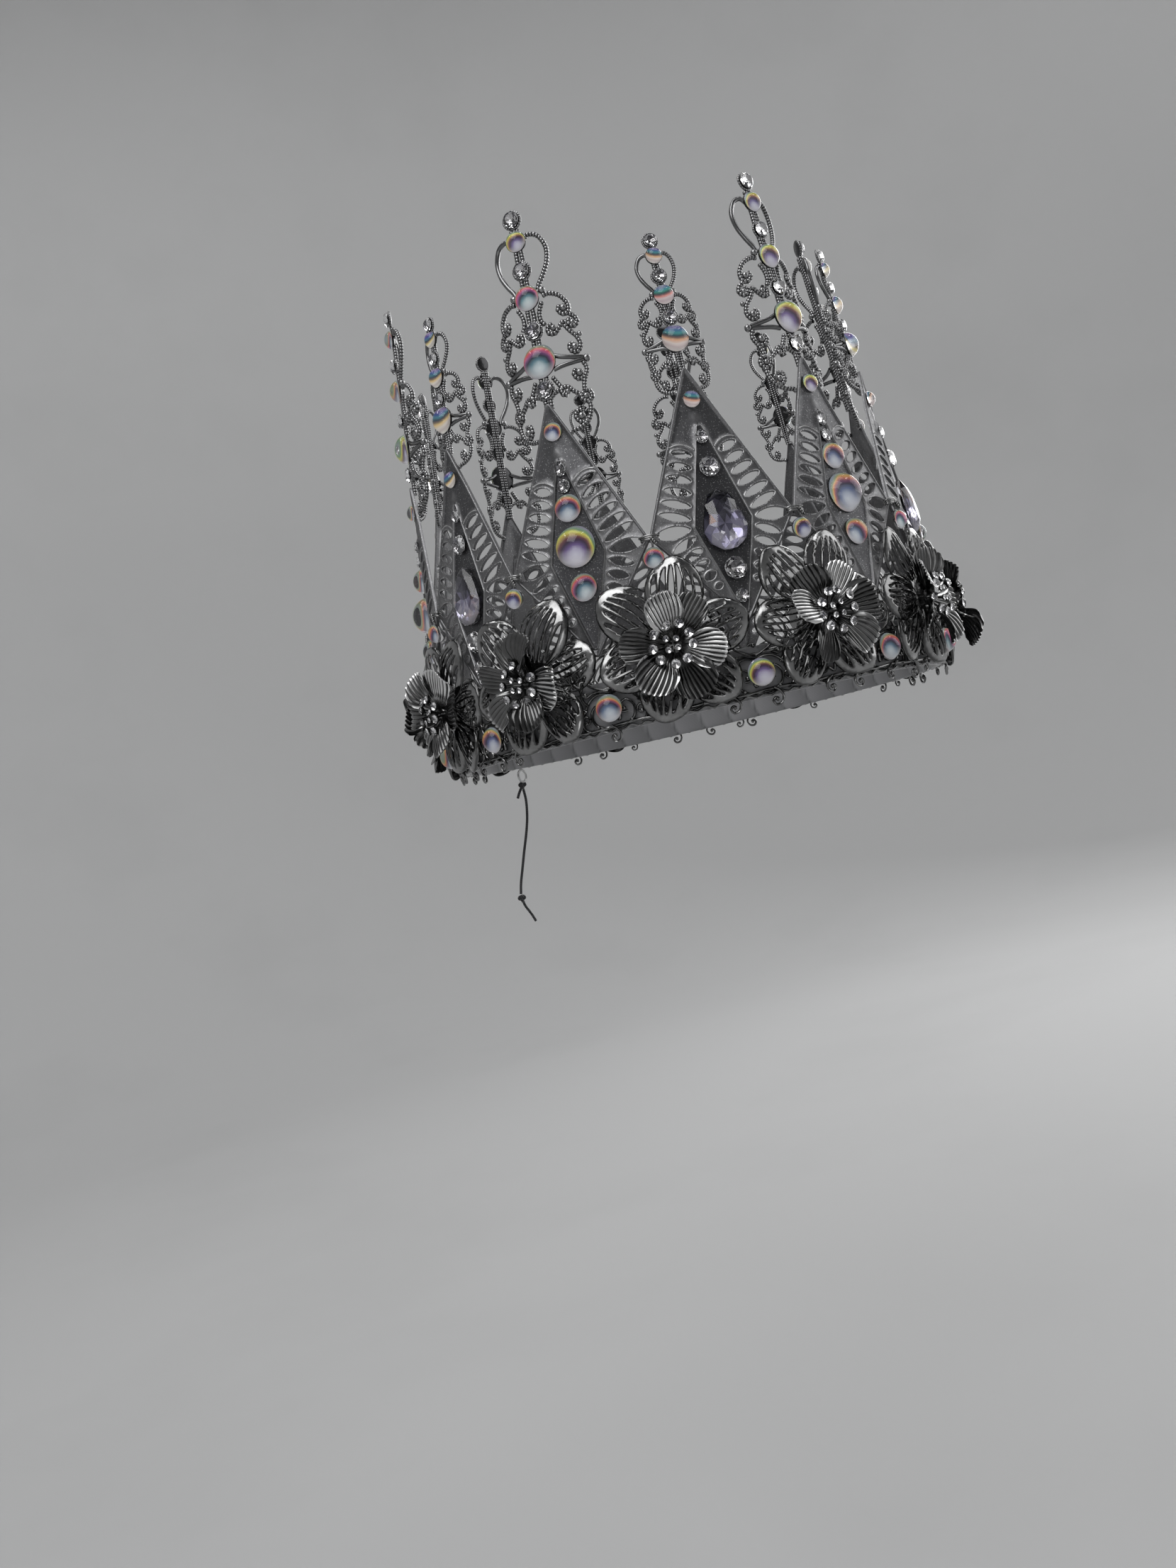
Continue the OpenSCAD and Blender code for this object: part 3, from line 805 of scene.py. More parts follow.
def make_plate():
    leaves = plate_leaves()
    outline = [rounded_kite(PLATE_W, PLATE_UP, PLATE_DOWN, d, max(0.15, 0.9 - d), 0.9)
               for d in (0, 0.18, 0.38, 0.58, 0.78, 1.2)]
    up = PLATE_UP - DIAMOND_DROP
    ridge = [rounded_kite(DIAMOND_W, up, PLATE_DOWN, 0.3 + d, max(0.15, 0.8 - d), 0.8)
             for d in (-0.45, -0.22, 0, 0.22, 0.45, 0.9)]
    centre_ridge = ridge[2]
    holes = [leaf_loop(f, 0, 0.45) for f in leaves]
    lips = [leaf_loop(f, g, 0.5) for f in leaves for g in (0.2, 0.42, 0.7)]
    bar_y = FIRST_LEAF + LEAF_PITCH * 5 + 1.6
    bar_x0, bar_x1 = ridge_x(bar_y) + 0.3, edge_x(bar_y + 1.6) - 0.8

    def bar_height(xs):
        t = np.clip((xs - bar_x0) / (bar_x1 - bar_x0), 0, 1)
        return bar_y + 1.3 * np.sin(math.pi * t) ** 0.8 + 1.9 * t

    xs = np.linspace(bar_x0, bar_x1, 16)
    bars = [np.stack([side * xs, bar_height(xs)], 1) for side in (1, -1)]
    rims = np.concatenate(outline[1:])
    ridges = np.concatenate(ridge)
    lip_points = np.concatenate(lips)
    bar_points = np.concatenate([b + (0, s) for b in bars for s in (-0.45, -0.2, 0, 0.2, 0.45)])

    def kite_distance(p, w, top, down):
        ax = np.abs(p[:, 0])
        upper = (w / 2 * top - top * ax - w / 2 * p[:, 1]) / math.hypot(top, w / 2)
        lower = (w / 2 * down - down * ax + w / 2 * p[:, 1]) / math.hypot(down, w / 2)
        return np.minimum(upper, lower)

    def in_plate(p):
        return kite_distance(p, PLATE_W, PLATE_UP, PLATE_DOWN)

    def leaf_inside(p, slack=0.0):
        hit = np.zeros(len(p), bool)
        for f in leaves:
            u, v = leaf_local(p, f)
            ok = np.abs(u) < 1
            half = np.zeros(len(p))
            half[ok] = f[3] / 2 * (1 - u[ok] ** 2) ** 0.72
            hit |= ok & (np.abs(v) < half + slack)
        return hit

    def inside(p):
        return (to_line(p, outline[0], True) < 1e-9) | (
            (in_plate(p) > 0.0) & ~leaf_inside(p))

    # each kind of point keeps its own gap from the cut edges and the points before it
    cuts = [outline[0], *holes]
    fixed, extra = np.concatenate(cuts), []
    fill = grid(-PLATE_W / 2, PLATE_W / 2, -PLATE_DOWN, PLATE_UP, 1.3)
    for p, gap in (
        (lip_points[(in_plate(lip_points) > 0.3) & ~leaf_inside(lip_points, 0.12)], 0.13),
        (rims, 0.13),
        (ridges[in_plate(ridges) > 0.2], 0.13),
        (bar_points, 0.15),
        (fill[(in_plate(fill) > 0.5) & ~leaf_inside(fill)], 0.5),
    ):
        extra.append(p[near(p, fixed) > gap])
        fixed = np.concatenate([fixed, extra[-1]])
    flat, tris = stamped(cuts, np.concatenate(extra), inside)

    x, y = flat.T
    d_out = to_line(flat, outline[0], True)
    d_ridge = to_line(flat, centre_ridge, True)
    in_diamond = kite_distance(flat, DIAMOND_W, up, PLATE_DOWN)
    d_bar = np.minimum(to_line(flat, bars[0]), to_line(flat, bars[1]))
    d_leaf = np.full(len(flat), 1e9)
    for h in holes:
        close = np.hypot(*(flat - h.mean(0)).T) < 10
        d_leaf[close] = np.minimum(d_leaf[close], to_line(flat[close], h, True))
    panel = (smoothstep(y - bar_height(np.abs(x)), 0.2, 0.6) * smoothstep(d_out, 0.8, 1.2)
             * smoothstep(-in_diamond, 0.3, 0.8) * smoothstep(d_bar, 0.3, 0.7))
    diamond = smoothstep(in_diamond, 0.4, 0.9)
    rim = np.sqrt(np.clip(1 - ((d_out - 0.38) / 0.4) ** 2, 0, 1))
    lip = bump(d_leaf - 0.2, 0.42) * (d_leaf < 0.9)
    ridge_up = bump(d_ridge, 0.46)
    bar_up = bump(d_bar, 0.45)
    relief = np.maximum.reduce([0.34 * rim, 0.34 * ridge_up, 0.26 * lip, 0.3 * bar_up])
    relief = relief - 0.3 * diamond - 0.24 * panel
    ridge_at = np.array([ridge_x(v) for v in y])
    out = np.maximum(np.abs(x) - ridge_at - 0.3, 0)
    slope = -0.105 * out - 0.35 * (1 - np.cos(np.clip(out / 12, 0, 1) * math.pi)) * 0.5
    # painted shade: the sunk diamond and the upper panel are given a darker tone
    tone = 0.52 - 0.48 * diamond - 0.36 * panel
    # painted highlight: the raised rims, ridges, leaf lips and bars are given a lighter tone
    raised_highlight = np.maximum.reduce([rim * 0.6, ridge_up ** 2 * 0.8, lip * 0.9, bar_up])
    tone = np.maximum(tone, raised_highlight * (0.52 + 0.42 * raised_highlight))
    # painted shade: a darker tone right along the edges of the leaf holes
    tone = np.where(d_leaf < 0.09, tone * 0.6, tone)
    front = np.stack([x, y, SHEET_T + relief + slope], 1)
    back = np.stack([x, y, slope + relief * 0.75 + 0.05], 1)
    points, faces = thicken(front, back, tris)
    parts = Parts()
    parts.add(points, faces, np.concatenate([tone, np.full(len(tone), 0.42)]))
    return parts.mesh("kite_plate", sharp=50)


plate_mesh = make_plate()
for k, number in NUMBERED:
    piece(f"kite_plate_stamped_{number}", plate_mesh, "plate_metal",
          [f"kite_plate_{number}"], at_spire(k))


# ---- finials ------------------------------------------------------------------------

FINIAL_CABS = [(33.4, 5), (21.4, 6), (8, 8)]
FINIAL_CRYSTALS = [(38, 4), (27.2, 4), (14.5, 4)]
TALL_EXTRA_CRYSTAL = (2.1, 4)
TALL_SCALE = 1.45
TALL_STONE_SCALE = 1.25
CURL_R = 13.8  # radius of a short finial's curl
WIRE_Z = -0.5
WIRE_SIDES = 7
BEAD_WAIST = 0.7  # radius between two beads, as a part of the radius at a bead


def finial_wires():
    """(points, beaded) for the right half of a short finial, y up from the plate's apex."""
    return [
        ([(1.2, 33.4), (2.6, 34.3), (4.5, 33.5), (5.6, 31), (5.3, 28.2), (4.1, 25.6), (2.8, 23.6),
          (2.3, 22.2)], True),
        ([(3.0, 21.2), (4.4, 21.4), (6.3, 20.6), (7.6, 18.8), (7.5, 17), (6.4, 16.6), (5.6, 17.5),
          (6, 18.5)], True),
        ([(2.7, 20.0), (1.9, 18.2), (1.8, 16.4), (2.4, 15.2)], True),
        ([(7.5, 16.6), (8.5, 15.9), (8.9, 14.8), (8.1, 13.9), (7.2, 14.3), (7.2, 15.2),
          (7.9, 15.3)], True),
        ([(6.9, 14.9), (5.9, 14.9), (5, 13.9), (4, 13), (2.9, 13.3), (2.9, 14.5), (3.9, 15)], True),
        ([(6.2, 14.4), (7, 13.1), (8.2, 11.7), (8.7, 10), (7.9, 8.6), (6.7, 8.8), (6.4, 9.9),
          (7.2, 10.4)], True),
        ([(2.4, 8.9), (4.2, 8.1), (6.4, 7.6), (8.6, 7.3)], False),
        ([(2.4, 5.8), (4.2, 6.2), (6.4, 6.5), (8.6, 6.8)], False),
        ([(8.5, 6.4), (9, 4.9), (8.2, 3.2), (6.9, 3), (6.2, 4), (6.7, 5)], True),
        ([(8.4, 3.4), (7.9, 1.9), (7.7, 0.6)], True),
        ([(7.7, 0.6), (8.7, 0.1), (8.9, -1), (8, -1.8), (7, -1.4), (6.8, -0.4), (7.6, 0.2)], True),
        ([(6.8, -0.3), (5.6, 0.6), (4.5, 1.7), (3.4, 1.6), (3.2, 0.5), (4.2, 0.1)], True),
        ([(1.9, 4.4), (2.5, 3.2), (3.3, 1.8)], True),
        ([(0.5, 0.2), (1.8, 1.2), (3.2, 1.5)], True),
        ([(8.2, -1.8), (8.2, -3.6), (7.2, -5.7), (5.4, -6.9), (3.6, -7.3)], True),
        ([(7.2, -5.7), (5.9, -5.9), (5, -4.9), (5.2, -3.7), (6.3, -3.4)], True),
        ([(0.65, 36), (0.55, 33), (0.6, 28), (0.55, 24), (0.6, 18), (0.55, 14), (0.6, 10), (0.6, 4),
          (0.5, -2.5)], True),
    ]


FINIAL_BALLS = [(3.1, 22.4, 0.72), (6.6, 17.9, 0.7), (7.9, 14.7, 0.6), (3.9, 14.2, 0.6),
                (7.4, 9.6, 0.75), (9.3, 7.05, 0.75), (7.3, 4.2, 0.75), (7.7, -0.7, 0.62),
                (4.3, 0.8, 0.55), (6.0, -4.6, 0.72), (8.9, 12.2, 0.5), (3.3, -7.6, 0.55)]


def make_finial(name, size, wire_r, pitch, stone_scale, tall):
    """Beaded scrolls round a row of stone seats. Both sides of the lace curl backwards."""
    parts = Parts()
    curl_r = CURL_R * size

    def curl(points):
        points = np.asarray(points, float)
        a = points[..., 0] / curl_r
        drop = curl_r * (1 - np.cos(a))
        return np.stack([curl_r * np.sin(a), points[..., 1], points[..., 2] - drop], -1)

    # painted highlight on each bead and painted shade in the waist between beads: tone rises with
    # the swell
    def bead_light_and_shade(swell, low, gain):
        return low + gain * np.clip((swell - BEAD_WAIST) / (1 - BEAD_WAIST), 0, 1)

    for side in (1, -1):
        for points, beaded in finial_wires():
            if side < 0 and points[0] == (1.2, 33.4):
                beaded = False
            p = np.array([(side * x * size, y * size, WIRE_Z) for x, y in points])
            path = curl(smooth_path(p, pitch / 5))
            if beaded:
                swell = beads(path, pitch, BEAD_WAIST)
                tone = bead_light_and_shade(swell, 0.1, 0.85)
            else:
                swell, tone = np.full(len(path), 0.9), np.full(len(path), 0.7)
            pts, faces = tube(path, wire_r * swell, WIRE_SIDES)
            parts.add(pts, faces, np.repeat(tone, WIRE_SIDES))
        for x, y, r in FINIAL_BALLS:
            ball(parts, curl((side * x * size, y * size, WIRE_Z)), 1.3 * r * size ** 0.6, 2, 0.85,
                 0.9)
    crystals = FINIAL_CRYSTALS + ([TALL_EXTRA_CRYSTAL] if tall else [])
    for y, d in crystals:
        r = d * stone_scale / 2
        path = arc_path((0, y * size), r + 0.12, 0, 360, pitch / 5, z=-0.15)[:-1]
        swell = beads(path, pitch * 0.8, BEAD_WAIST)
        pts, faces = tube(path, 0.4 * swell, WIRE_SIDES, closed=True)
        parts.add(pts, faces, np.repeat(bead_light_and_shade(swell, 0.25, 0.7), WIRE_SIDES))
        parts.turn([(0, -0.75), (r * 0.7, -0.75), (r, -0.45), (r, -0.02), (0, -0.02)], 24, 0.4,
                   (0, y * size, 0))
    for y, d in FINIAL_CABS:
        r = d * stone_scale / 2
        parts.turn([(0, -0.8), (r * 0.75, -0.8), (r * 0.96, -0.5), (r * 0.96, -0.02),
                    (0, -0.02)], 28, 0.45, (0, y * size, 0))
    return parts.mesh(name, sharp=60)


finial_meshes = {
    False: make_finial("finial_short", 1.0, 0.66, 0.76, 1.0, False),
    True: make_finial("finial_tall", TALL_SCALE, 0.78, 0.95, TALL_STONE_SCALE, True),
}
for k, number in NUMBERED:
    piece(f"finial_beaded_{number}", finial_meshes[is_tall(k)], "finial_metal",
          [f"finial_{number}"], at_spire(k) @ shift(y=PLATE_UP * MM))


# ---- stones -------------------------------------------------------------------------

CAB_RISE = 0.42
PEAR_DROP, PEAR_R, PEAR_LENGTH, PEAR_H = 47, 6.5, 18, 3.6
SHORT_PLATE_CABS = [(10.7, 5)]
SHORT_PLATE_CRYSTALS = [(22, 4), (31, 6), (61, 6.5), (69, 4)]
TALL_PLATE_CABS = [(9.7, 5.5), (32.5, 8), (44, 12), (56, 8)]
TALL_PLATE_CRYSTALS = [(21, 4), (26, 4)]
LOW_CAB_Z, LOW_CAB_D = 7, 8
JUNCTION_CAB_Z, JUNCTION_CAB_D = 44.7, 6

domes, foils, glass, backs, pear_glass, pear_backs = (Parts() for _ in range(6))


def add_cabochon(place, d, sink=0.0, banded=False):
    """A clear dome round a foil disc, standing on z = 0 and sunk into its seat by sink."""
    rise = d * CAB_RISE
    r = d / 2
    ball_r = (r * r + rise * rise) / (2 * rise)
    edge = 0.3
    profile = [(0, -sink + 0.12), (r - 0.12, -sink + 0.12), (r - 0.02, -sink + 0.3), (r, edge)]
    for i in range(1, 10):
        a = math.asin(r / ball_r) * (1 - i / 10)
        profile.append((ball_r * math.sin(a), max(edge, rise - ball_r + ball_r * math.cos(a))))
    profile.append((0, rise))
    domes.turn(profile, 36, place=place)
    rings, sides = 9, 28
    foil_r, foil_z = r - 0.16, 0.24
    points, spots = [(0, 0, foil_z)], [(0, 0)]
    for i in range(1, rings + 1):
        for j in range(sides):
            a = 2 * math.pi * j / sides
            q = i / rings
            points.append((q * foil_r * math.cos(a), q * foil_r * math.sin(a), foil_z))
            spots.append((q * math.cos(a), q * math.sin(a)))
    faces = disc_faces(rings, sides)
    hue, spin = rng.random() * 0.38 + 0.5 * banded, math.radians(rng.uniform(-25, 25))
    s = np.array(spots)
    spun = np.stack([s[:, 0] * math.cos(spin) - s[:, 1] * math.sin(spin),
                     s[:, 0] * math.sin(spin) + s[:, 1] * math.cos(spin),
                     np.full(len(s), hue)], 1)
    foils.add(np.array(points) + (0, 0, -sink), faces, 0.0, spun, place)


def facets(levels, sides, outline=None, top=None, bottom=None):
    """Rings of points joined by triangles, each ring turned by half a step from the last."""
    points, faces = [], []
    for i, (scale, z) in enumerate(levels):
        for j in range(sides):
            a = 2 * math.pi * (j + 0.5 * (i % 2)) / sides
            p = outline(a) if outline else (math.cos(a), math.sin(a))
            points.append((p[0] * scale, p[1] * scale, z))
    for i in range(len(levels) - 1):
        faces += zigzag(i * sides, (i + 1) * sides, sides, i % 2)
    last = (len(levels) - 1) * sides
    if top is None:
        faces.append([last + j for j in range(sides)])
    else:
        points.append(top)
        faces += [[last + j, last + (j + 1) % sides, len(points) - 1] for j in range(sides)]
    if bottom is None:
        faces.append([j for j in range(sides - 1, -1, -1)])
    else:
        points.append(bottom)
        faces += [[(j + 1) % sides, j, len(points) - 1] for j in range(sides)]
    return np.array(points, float), faces


def add_crystal(place, d, sides=8, turn=0.0):
    """A faceted round stone: clear crown over a mirrored pavilion, flat back at z = 0."""
    r = d / 2
    place = place @ Matrix.Rotation(turn, 4, "Z")
    girdle, table = 0.17 * d, 0.37 * d
    pts, faces = facets([(r, girdle - 0.05 * d), (r, girdle), (r * 0.8, girdle + 0.13 * d),
                         (r * 0.56, table)], sides, bottom=(0, 0, 0.02 * d))
    glass.add(pts, faces, 0.0, place=place)
    n = 2 * sides
    points = [(0, 0, 0.02 * d - 0.03)]
    for scale, half_step, height, wave in ((0.45, 0.5, 0.055 * d, 0.25),
                                           (0.97, 0.0, girdle - 0.055 * d, 0.0)):
        for j in range(n):
            a = 2 * math.pi * (j + half_step) / n
            points.append((r * scale * math.cos(a), r * scale * math.sin(a),
                           height * (1 + wave * (j % 2))))
    tris = [[0, 1 + j, 1 + (j + 1) % n] for j in range(n)]
    for j in range(n):
        m = (j + 1) % n
        tris += [[1 + j, 1 + n + m, 1 + m], [1 + j, 1 + n + j, 1 + n + m]]

    # painted light: the foil is lighter towards the bottom of the stone and darker towards its top
    def tone(corners):
        x, y = (sum(c[i] for c in corners) / 3 / r for i in (0, 1))
        return 0.42 - 0.7 * (math.cos(turn) * y + math.sin(turn) * x)

    add_foil(backs, points, tris, tone, 0.25, place)


def pear_point(a):
    """Outline of the pear at angle a, about the centre of its round end, in millimetres."""
    top_r = 4.3
    rise = PEAR_LENGTH - PEAR_R - top_r
    touch = math.acos((PEAR_R - top_r) / rise)
    off = abs((a - math.pi / 2 + math.pi) % (2 * math.pi) - math.pi)
    edge = math.atan2(rise + top_r * math.cos(touch), top_r * math.sin(touch))
    if off >= touch:
        reach = PEAR_R
    elif off <= math.pi / 2 - edge:
        reach = rise * math.cos(off) + math.sqrt(max(0.0, top_r ** 2 - (rise * math.sin(off)) ** 2))
    else:
        reach = PEAR_R / math.cos(touch - off)
    return reach * math.cos(a), reach * math.sin(a)


def add_pear(place):
    sides = 12
    girdle = 1.3
    pts, faces = facets([(0.97, 0.05), (1.0, girdle - 0.3), (1.0, girdle), (0.78, 2.7),
                         (0.46, PEAR_H)], sides, pear_point)
    pear_glass.add(pts, faces, 0.0, place=place)
    n = 10
    rings = [(0.96, girdle - 0.2), (0.64, 0.62), (0.32, 0.25)]
    points = []
    for i, (scale, z) in enumerate(rings):
        for j in range(n):
            a = 2 * math.pi * (j + 0.5 * (i % 2)) / n
            x, y = pear_point(a)
            points.append((x * scale, y * scale + 1.2 * (1 - scale), z + rng.uniform(-0.06, 0.06)))
    points.append((0, 1.4, 0.1))
    cells = zigzag(0, n, n, False) + zigzag(n, 2 * n, n, True)
    cells += [[2 * n + j, 2 * n + (j + 1) % n, 3 * n] for j in range(n)]
    # painted light: the foil lighter towards the round lower end and darker towards the point
    add_foil(pear_backs, points, cells,
             lambda corners: 0.5 - 0.09 * (sum(c[1] for c in corners) / 3 - 1.2), 0.28, place)


for k in range(1, SPIRES + 1):
    spire = in_mm(at_spire(k))
    for drop, d in TALL_PLATE_CABS if is_tall(k) else SHORT_PLATE_CABS:
        add_cabochon(spire @ shift(0, PLATE_UP - drop, SHEET_T), d, 0.2, not is_tall(k))
    for drop, d in TALL_PLATE_CRYSTALS if is_tall(k) else SHORT_PLATE_CRYSTALS:
        add_crystal(spire @ shift(0, PLATE_UP - drop, SHEET_T - 0.2), d, 8, rng.uniform(0, 0.7))
    size = TALL_SCALE if is_tall(k) else 1.0
    stone = TALL_STONE_SCALE if is_tall(k) else 1.0
    for y, d in FINIAL_CABS:
        add_cabochon(spire @ shift(0, PLATE_UP + y * size, 0), d * stone, 0, not is_tall(k))
    for y, d in FINIAL_CRYSTALS + ([TALL_EXTRA_CRYSTAL] if is_tall(k) else []):
        add_crystal(spire @ shift(0, PLATE_UP + y * size, 0), d * stone, 8, rng.uniform(0, 0.7))
    if not is_tall(k):
        add_pear(spire @ shift(0, PLATE_UP - PEAR_DROP - PEAR_LENGTH / 2 + PEAR_R, SHEET_T - 0.2))
    add_cabochon(in_mm(at_angle(k - 1, PANEL_R + 3, LOW_CAB_Z)), LOW_CAB_D)
    add_cabochon(in_mm(at_angle(k - 0.5, SHOULDER_R + SHEET_T, JUNCTION_CAB_Z)), JUNCTION_CAB_D)

gathered("cabochon_domes", domes, 40, "ab_glass", ["ab_cabochons"])
piece("cabochon_foils", foils.mesh("cabochon_foils", spots=True), "foil")
gathered("rhinestone_tops", glass, 1, "crystal", ["rhinestones"])
gathered("rhinestone_foils", backs, 1, "mirror")
gathered("pear_tops", pear_glass, 1, "pear_crystal", ["pear_stones"])
gathered("pear_foils", pear_backs, 1, "pear_mirror")


# ---- lower flowers ------------------------------------------------------------------


def petal_outline(length, half, base=2.2):
    side = [(base, 1.0), (length * 0.28, half * 0.62), (length * 0.46, half * 0.93),
            (length * 0.64, half), (length * 0.82, half * 0.82), (length * 0.95, half * 0.42)]
    points = side + [(length, 0)] + [(x, -y) for x, y in reversed(side)]
    return smooth_path([(x, y, 0) for x, y in points], 0.7, closed=True)[:, :2]


def petal_half(outline, u):
    upper = outline[outline[:, 1] >= 0]
    order = np.argsort(upper[:, 0])
    return np.interp(u, upper[order, 0], upper[order, 1])


def make_lower_petal(length, half, sweep):
    """A flat openwork petal: its rim, and slits along it with round ribs between."""
    outline = petal_outline(length, half)
    slits = []
    n = 6
    for j in range(n):
        s = (j + 0.5) / n * 2 - 1
        reach = math.sqrt(max(0.0, 1 - (s * 0.93) ** 2))
        u0 = length * (0.26 + 0.08 * abs(s))
        u1 = length * (0.56 + 0.33 * reach)
        t = np.linspace(0, 1, 15)
        u = u0 + (u1 - u0) * t
        room = petal_half(outline, u)
        v = s * (room - 0.85) * 0.99 + sweep * np.sin(math.pi * t) * 0.9
        wide = (0.12 + 0.54 * np.sin(math.pi * np.clip(t, 0, 1)) ** 0.55) * room / half * 1.15
        upper = np.stack([u, v + wide], 1)
        lower = np.stack([u, v - wide], 1)[::-1]
        slits.append(np.concatenate([upper, lower]))

    def in_polygon(p, loop):
        x, y = p.T
        hit = np.zeros(len(p), bool)
        for a, b in zip(loop, np.roll(loop, -1, 0)):
            cross = (a[1] > y) != (b[1] > y)
            if cross.any():
                at = (b[0] - a[0]) * (y - a[1]) / (b[1] - a[1] + 1e-12) + a[0]
                hit ^= cross & (x < at)
        return hit

    def solid(p):
        ok = in_polygon(p, outline)
        for loop in slits:
            ok &= ~in_polygon(p, loop)
        return ok

    edges = np.concatenate([outline, *slits])
    fill = grid(0, length, -half, half, 0.62)
    fill = fill[solid(fill)]
    fill = fill[near(fill, edges) > 0.26]
    flat, tris = stamped([outline, *slits], fill, solid)
    d = to_line(flat, outline, True)
    for loop in slits:
        d = np.minimum(d, to_line(flat, loop, True))
    return flat, tris, d


def lower_flower(variant):
    parts = Parts()
    local = np.random.default_rng(100 + variant)
    for i in range(6):
        angle = 60 * i
        upper = i in (1, 2)
        length = (25.5 if upper else 22.2) + local.uniform(-0.5, 0.5)
        half = (8.0 if upper else 7.6) + local.uniform(-0.3, 0.3)
        sweep = local.choice([-1.0, 1.0]) * local.uniform(0.5, 1.3)
        flat, tris, d = make_lower_petal(length, half, sweep)
        u, v = flat.T
        t = u / length
        lift = local.uniform(0.8, 2.0) + (1.2 if upper else 0)
        dome = 0.042 + local.uniform(-0.008, 0.012)
        curl = local.uniform(-0.1, 0.5)
        z = (lift * np.sin(math.pi * np.clip(t, 0, 1)) - dome * v * v * smoothstep(t, 0.1, 0.5)
             - curl * 3 * smoothstep(t, 0.7, 1.0) + 0.5 * (i % 2))
        twist = math.radians(local.uniform(-5, 5))
        z = z + v * math.sin(twist)
        round_up = 0.34 * np.sqrt(np.clip(1 - (1 - np.clip(d / 0.55, 0, 1)) ** 2, 0, 1))
        front = np.stack([u, v, z + 0.15 + round_up], 1)
        back = np.stack([u, v, z - 0.15], 1)
        points, faces = thicken(front, back, tris)
        # painted shade near the cut edges, where the rounded ribs fall away, and painted highlight
        # on the rib tops
        tone = 0.15 + 0.7 * np.clip(d / 0.45, 0, 1) ** 1.5
        place = about("Z", angle + local.uniform(-9, 9))
        # painted light: the back gets a light fixed tone so that it does not read dark
        parts.add(points, faces, np.concatenate([tone, np.full(len(tone), 0.7)]), place=place)
    parts.turn([(0, -0.2), (4.2, -0.2), (4.6, 0.2), (4.2, 0.7), (2.8, 0.9), (0, 0.9)], 32, 0.5)
    parts.turn([(0, -2.1), (2.8, -2.1), (2.8, -0.1), (0, -0.1)], 24, 0.4)
    return parts.mesh(f"lower_flower_{variant}", sharp=55)


LOWER_VARIANTS = 3
lower_meshes = [lower_flower(v) for v in range(LOWER_VARIANTS)]


# ---- upper flowers ------------------------------------------------------------------


def fan_petal(parts, reach, half, ribs, tilt, cup, twist, angle, ruffle, phase, petal_painted_light):
    """A pleated fan with a scalloped edge, tilted up from the flower's plane."""
    nu, per = 14, 6
    nv = ribs * per
    t = np.linspace(0, 1, nu + 1)[:, None]
    s = np.linspace(-1, 1, nv + 1)[None, :]
    ridge = 1 - np.abs(np.cos(s * math.pi * ribs / 2)) ** 5
    root = 2.0
    width = half * (0.17 + 0.83 * np.sin(np.clip(t * 1.08, 0, 1) * math.pi * 0.5) ** 1.1)
    round_end = np.sqrt(np.clip(1 - np.abs(s) ** 2.4, 0, 1))
    x = root + (reach - root) * t * (0.66 + 0.34 * round_end) + 0.4 * (ridge - 1) * t ** 6
    y = s * width
    pleat = 0.42 * ridge * smoothstep(t, 0.06, 0.5) * (0.4 + 0.6 * t)
    z = (pleat + cup * y * y / half * smoothstep(t, 0.1, 0.7)
         + ruffle * np.sin(3.4 * s + phase) * t ** 2)
    bend = np.radians(tilt) * (1.25 - 0.6 * t)
    px = x * np.cos(bend) - z * np.sin(bend)
    pz = x * np.sin(bend) + z * np.cos(bend)
    front = np.stack([px, y + 0 * t, pz], 2).reshape(-1, 3)
    cols = nv + 1
    tris = []
    for i in range(nu):
        for j in range(nv):
            b = i * cols + j
            tris += [[b, b + cols, b + cols + 1], [b, b + cols + 1, b + 1]]
    tris = np.array(tris)
    drop = np.array((np.sin(np.radians(tilt)), 0, -np.cos(np.radians(tilt)))) * 0.22
    points, faces = thicken(front, front + drop, tris)
    # painted highlight on the pleat ridges and the outer edge, painted shade in the valleys and
    # towards the root; the last factor makes whole petals brighter or darker as painted light
    edge = np.maximum(smoothstep(t, 0.95, 1.0), smoothstep(np.abs(s), 0.95, 1.0))
    shade = (0.22 + 0.38 * ridge) * smoothstep(t, 0.0, 0.4) + 0.04 + 0.4 * edge
    shade = np.clip(shade * petal_painted_light, 0, 1).reshape(-1)
    # the back gets the same painted light and shade, darker
    parts.add(points, faces, np.concatenate([shade, shade * 0.6]),
              place=about("Z", angle) @ about("X", twist))


def upper_flower(variant):
    parts = Parts()
    local = np.random.default_rng(300 + variant)
    for i in range(6):
        fan_petal(parts, 15.9 + local.uniform(-1.0, 0.8), 6.1 + local.uniform(-0.6, 0.5),
                  int(local.integers(8, 11)), local.uniform(6, 36), local.uniform(-0.25, 0.7),
                  local.uniform(-32, 32), 60 * i + local.uniform(-7, 7),
                  local.uniform(0.3, 1.2), local.uniform(0, 6.28),
                  # painted light: a factor that makes some whole petals brighter and others darker
                  0.45 + 1.1 * local.random() ** 1.6)
    parts.turn([(0, -0.3), (2.3, -0.3), (2.8, 0.2), (2.4, 0.8), (1.2, 1.1), (0, 1.2)], 24, 0.2)
    parts.turn([(0, -2.4), (2.2, -2.4), (2.2, -0.2), (0, -0.2)], 20, 0.3)
    return parts.mesh(f"upper_flower_{variant}", sharp=40)


UPPER_VARIANTS = 4
upper_meshes = [upper_flower(v) for v in range(UPPER_VARIANTS)]

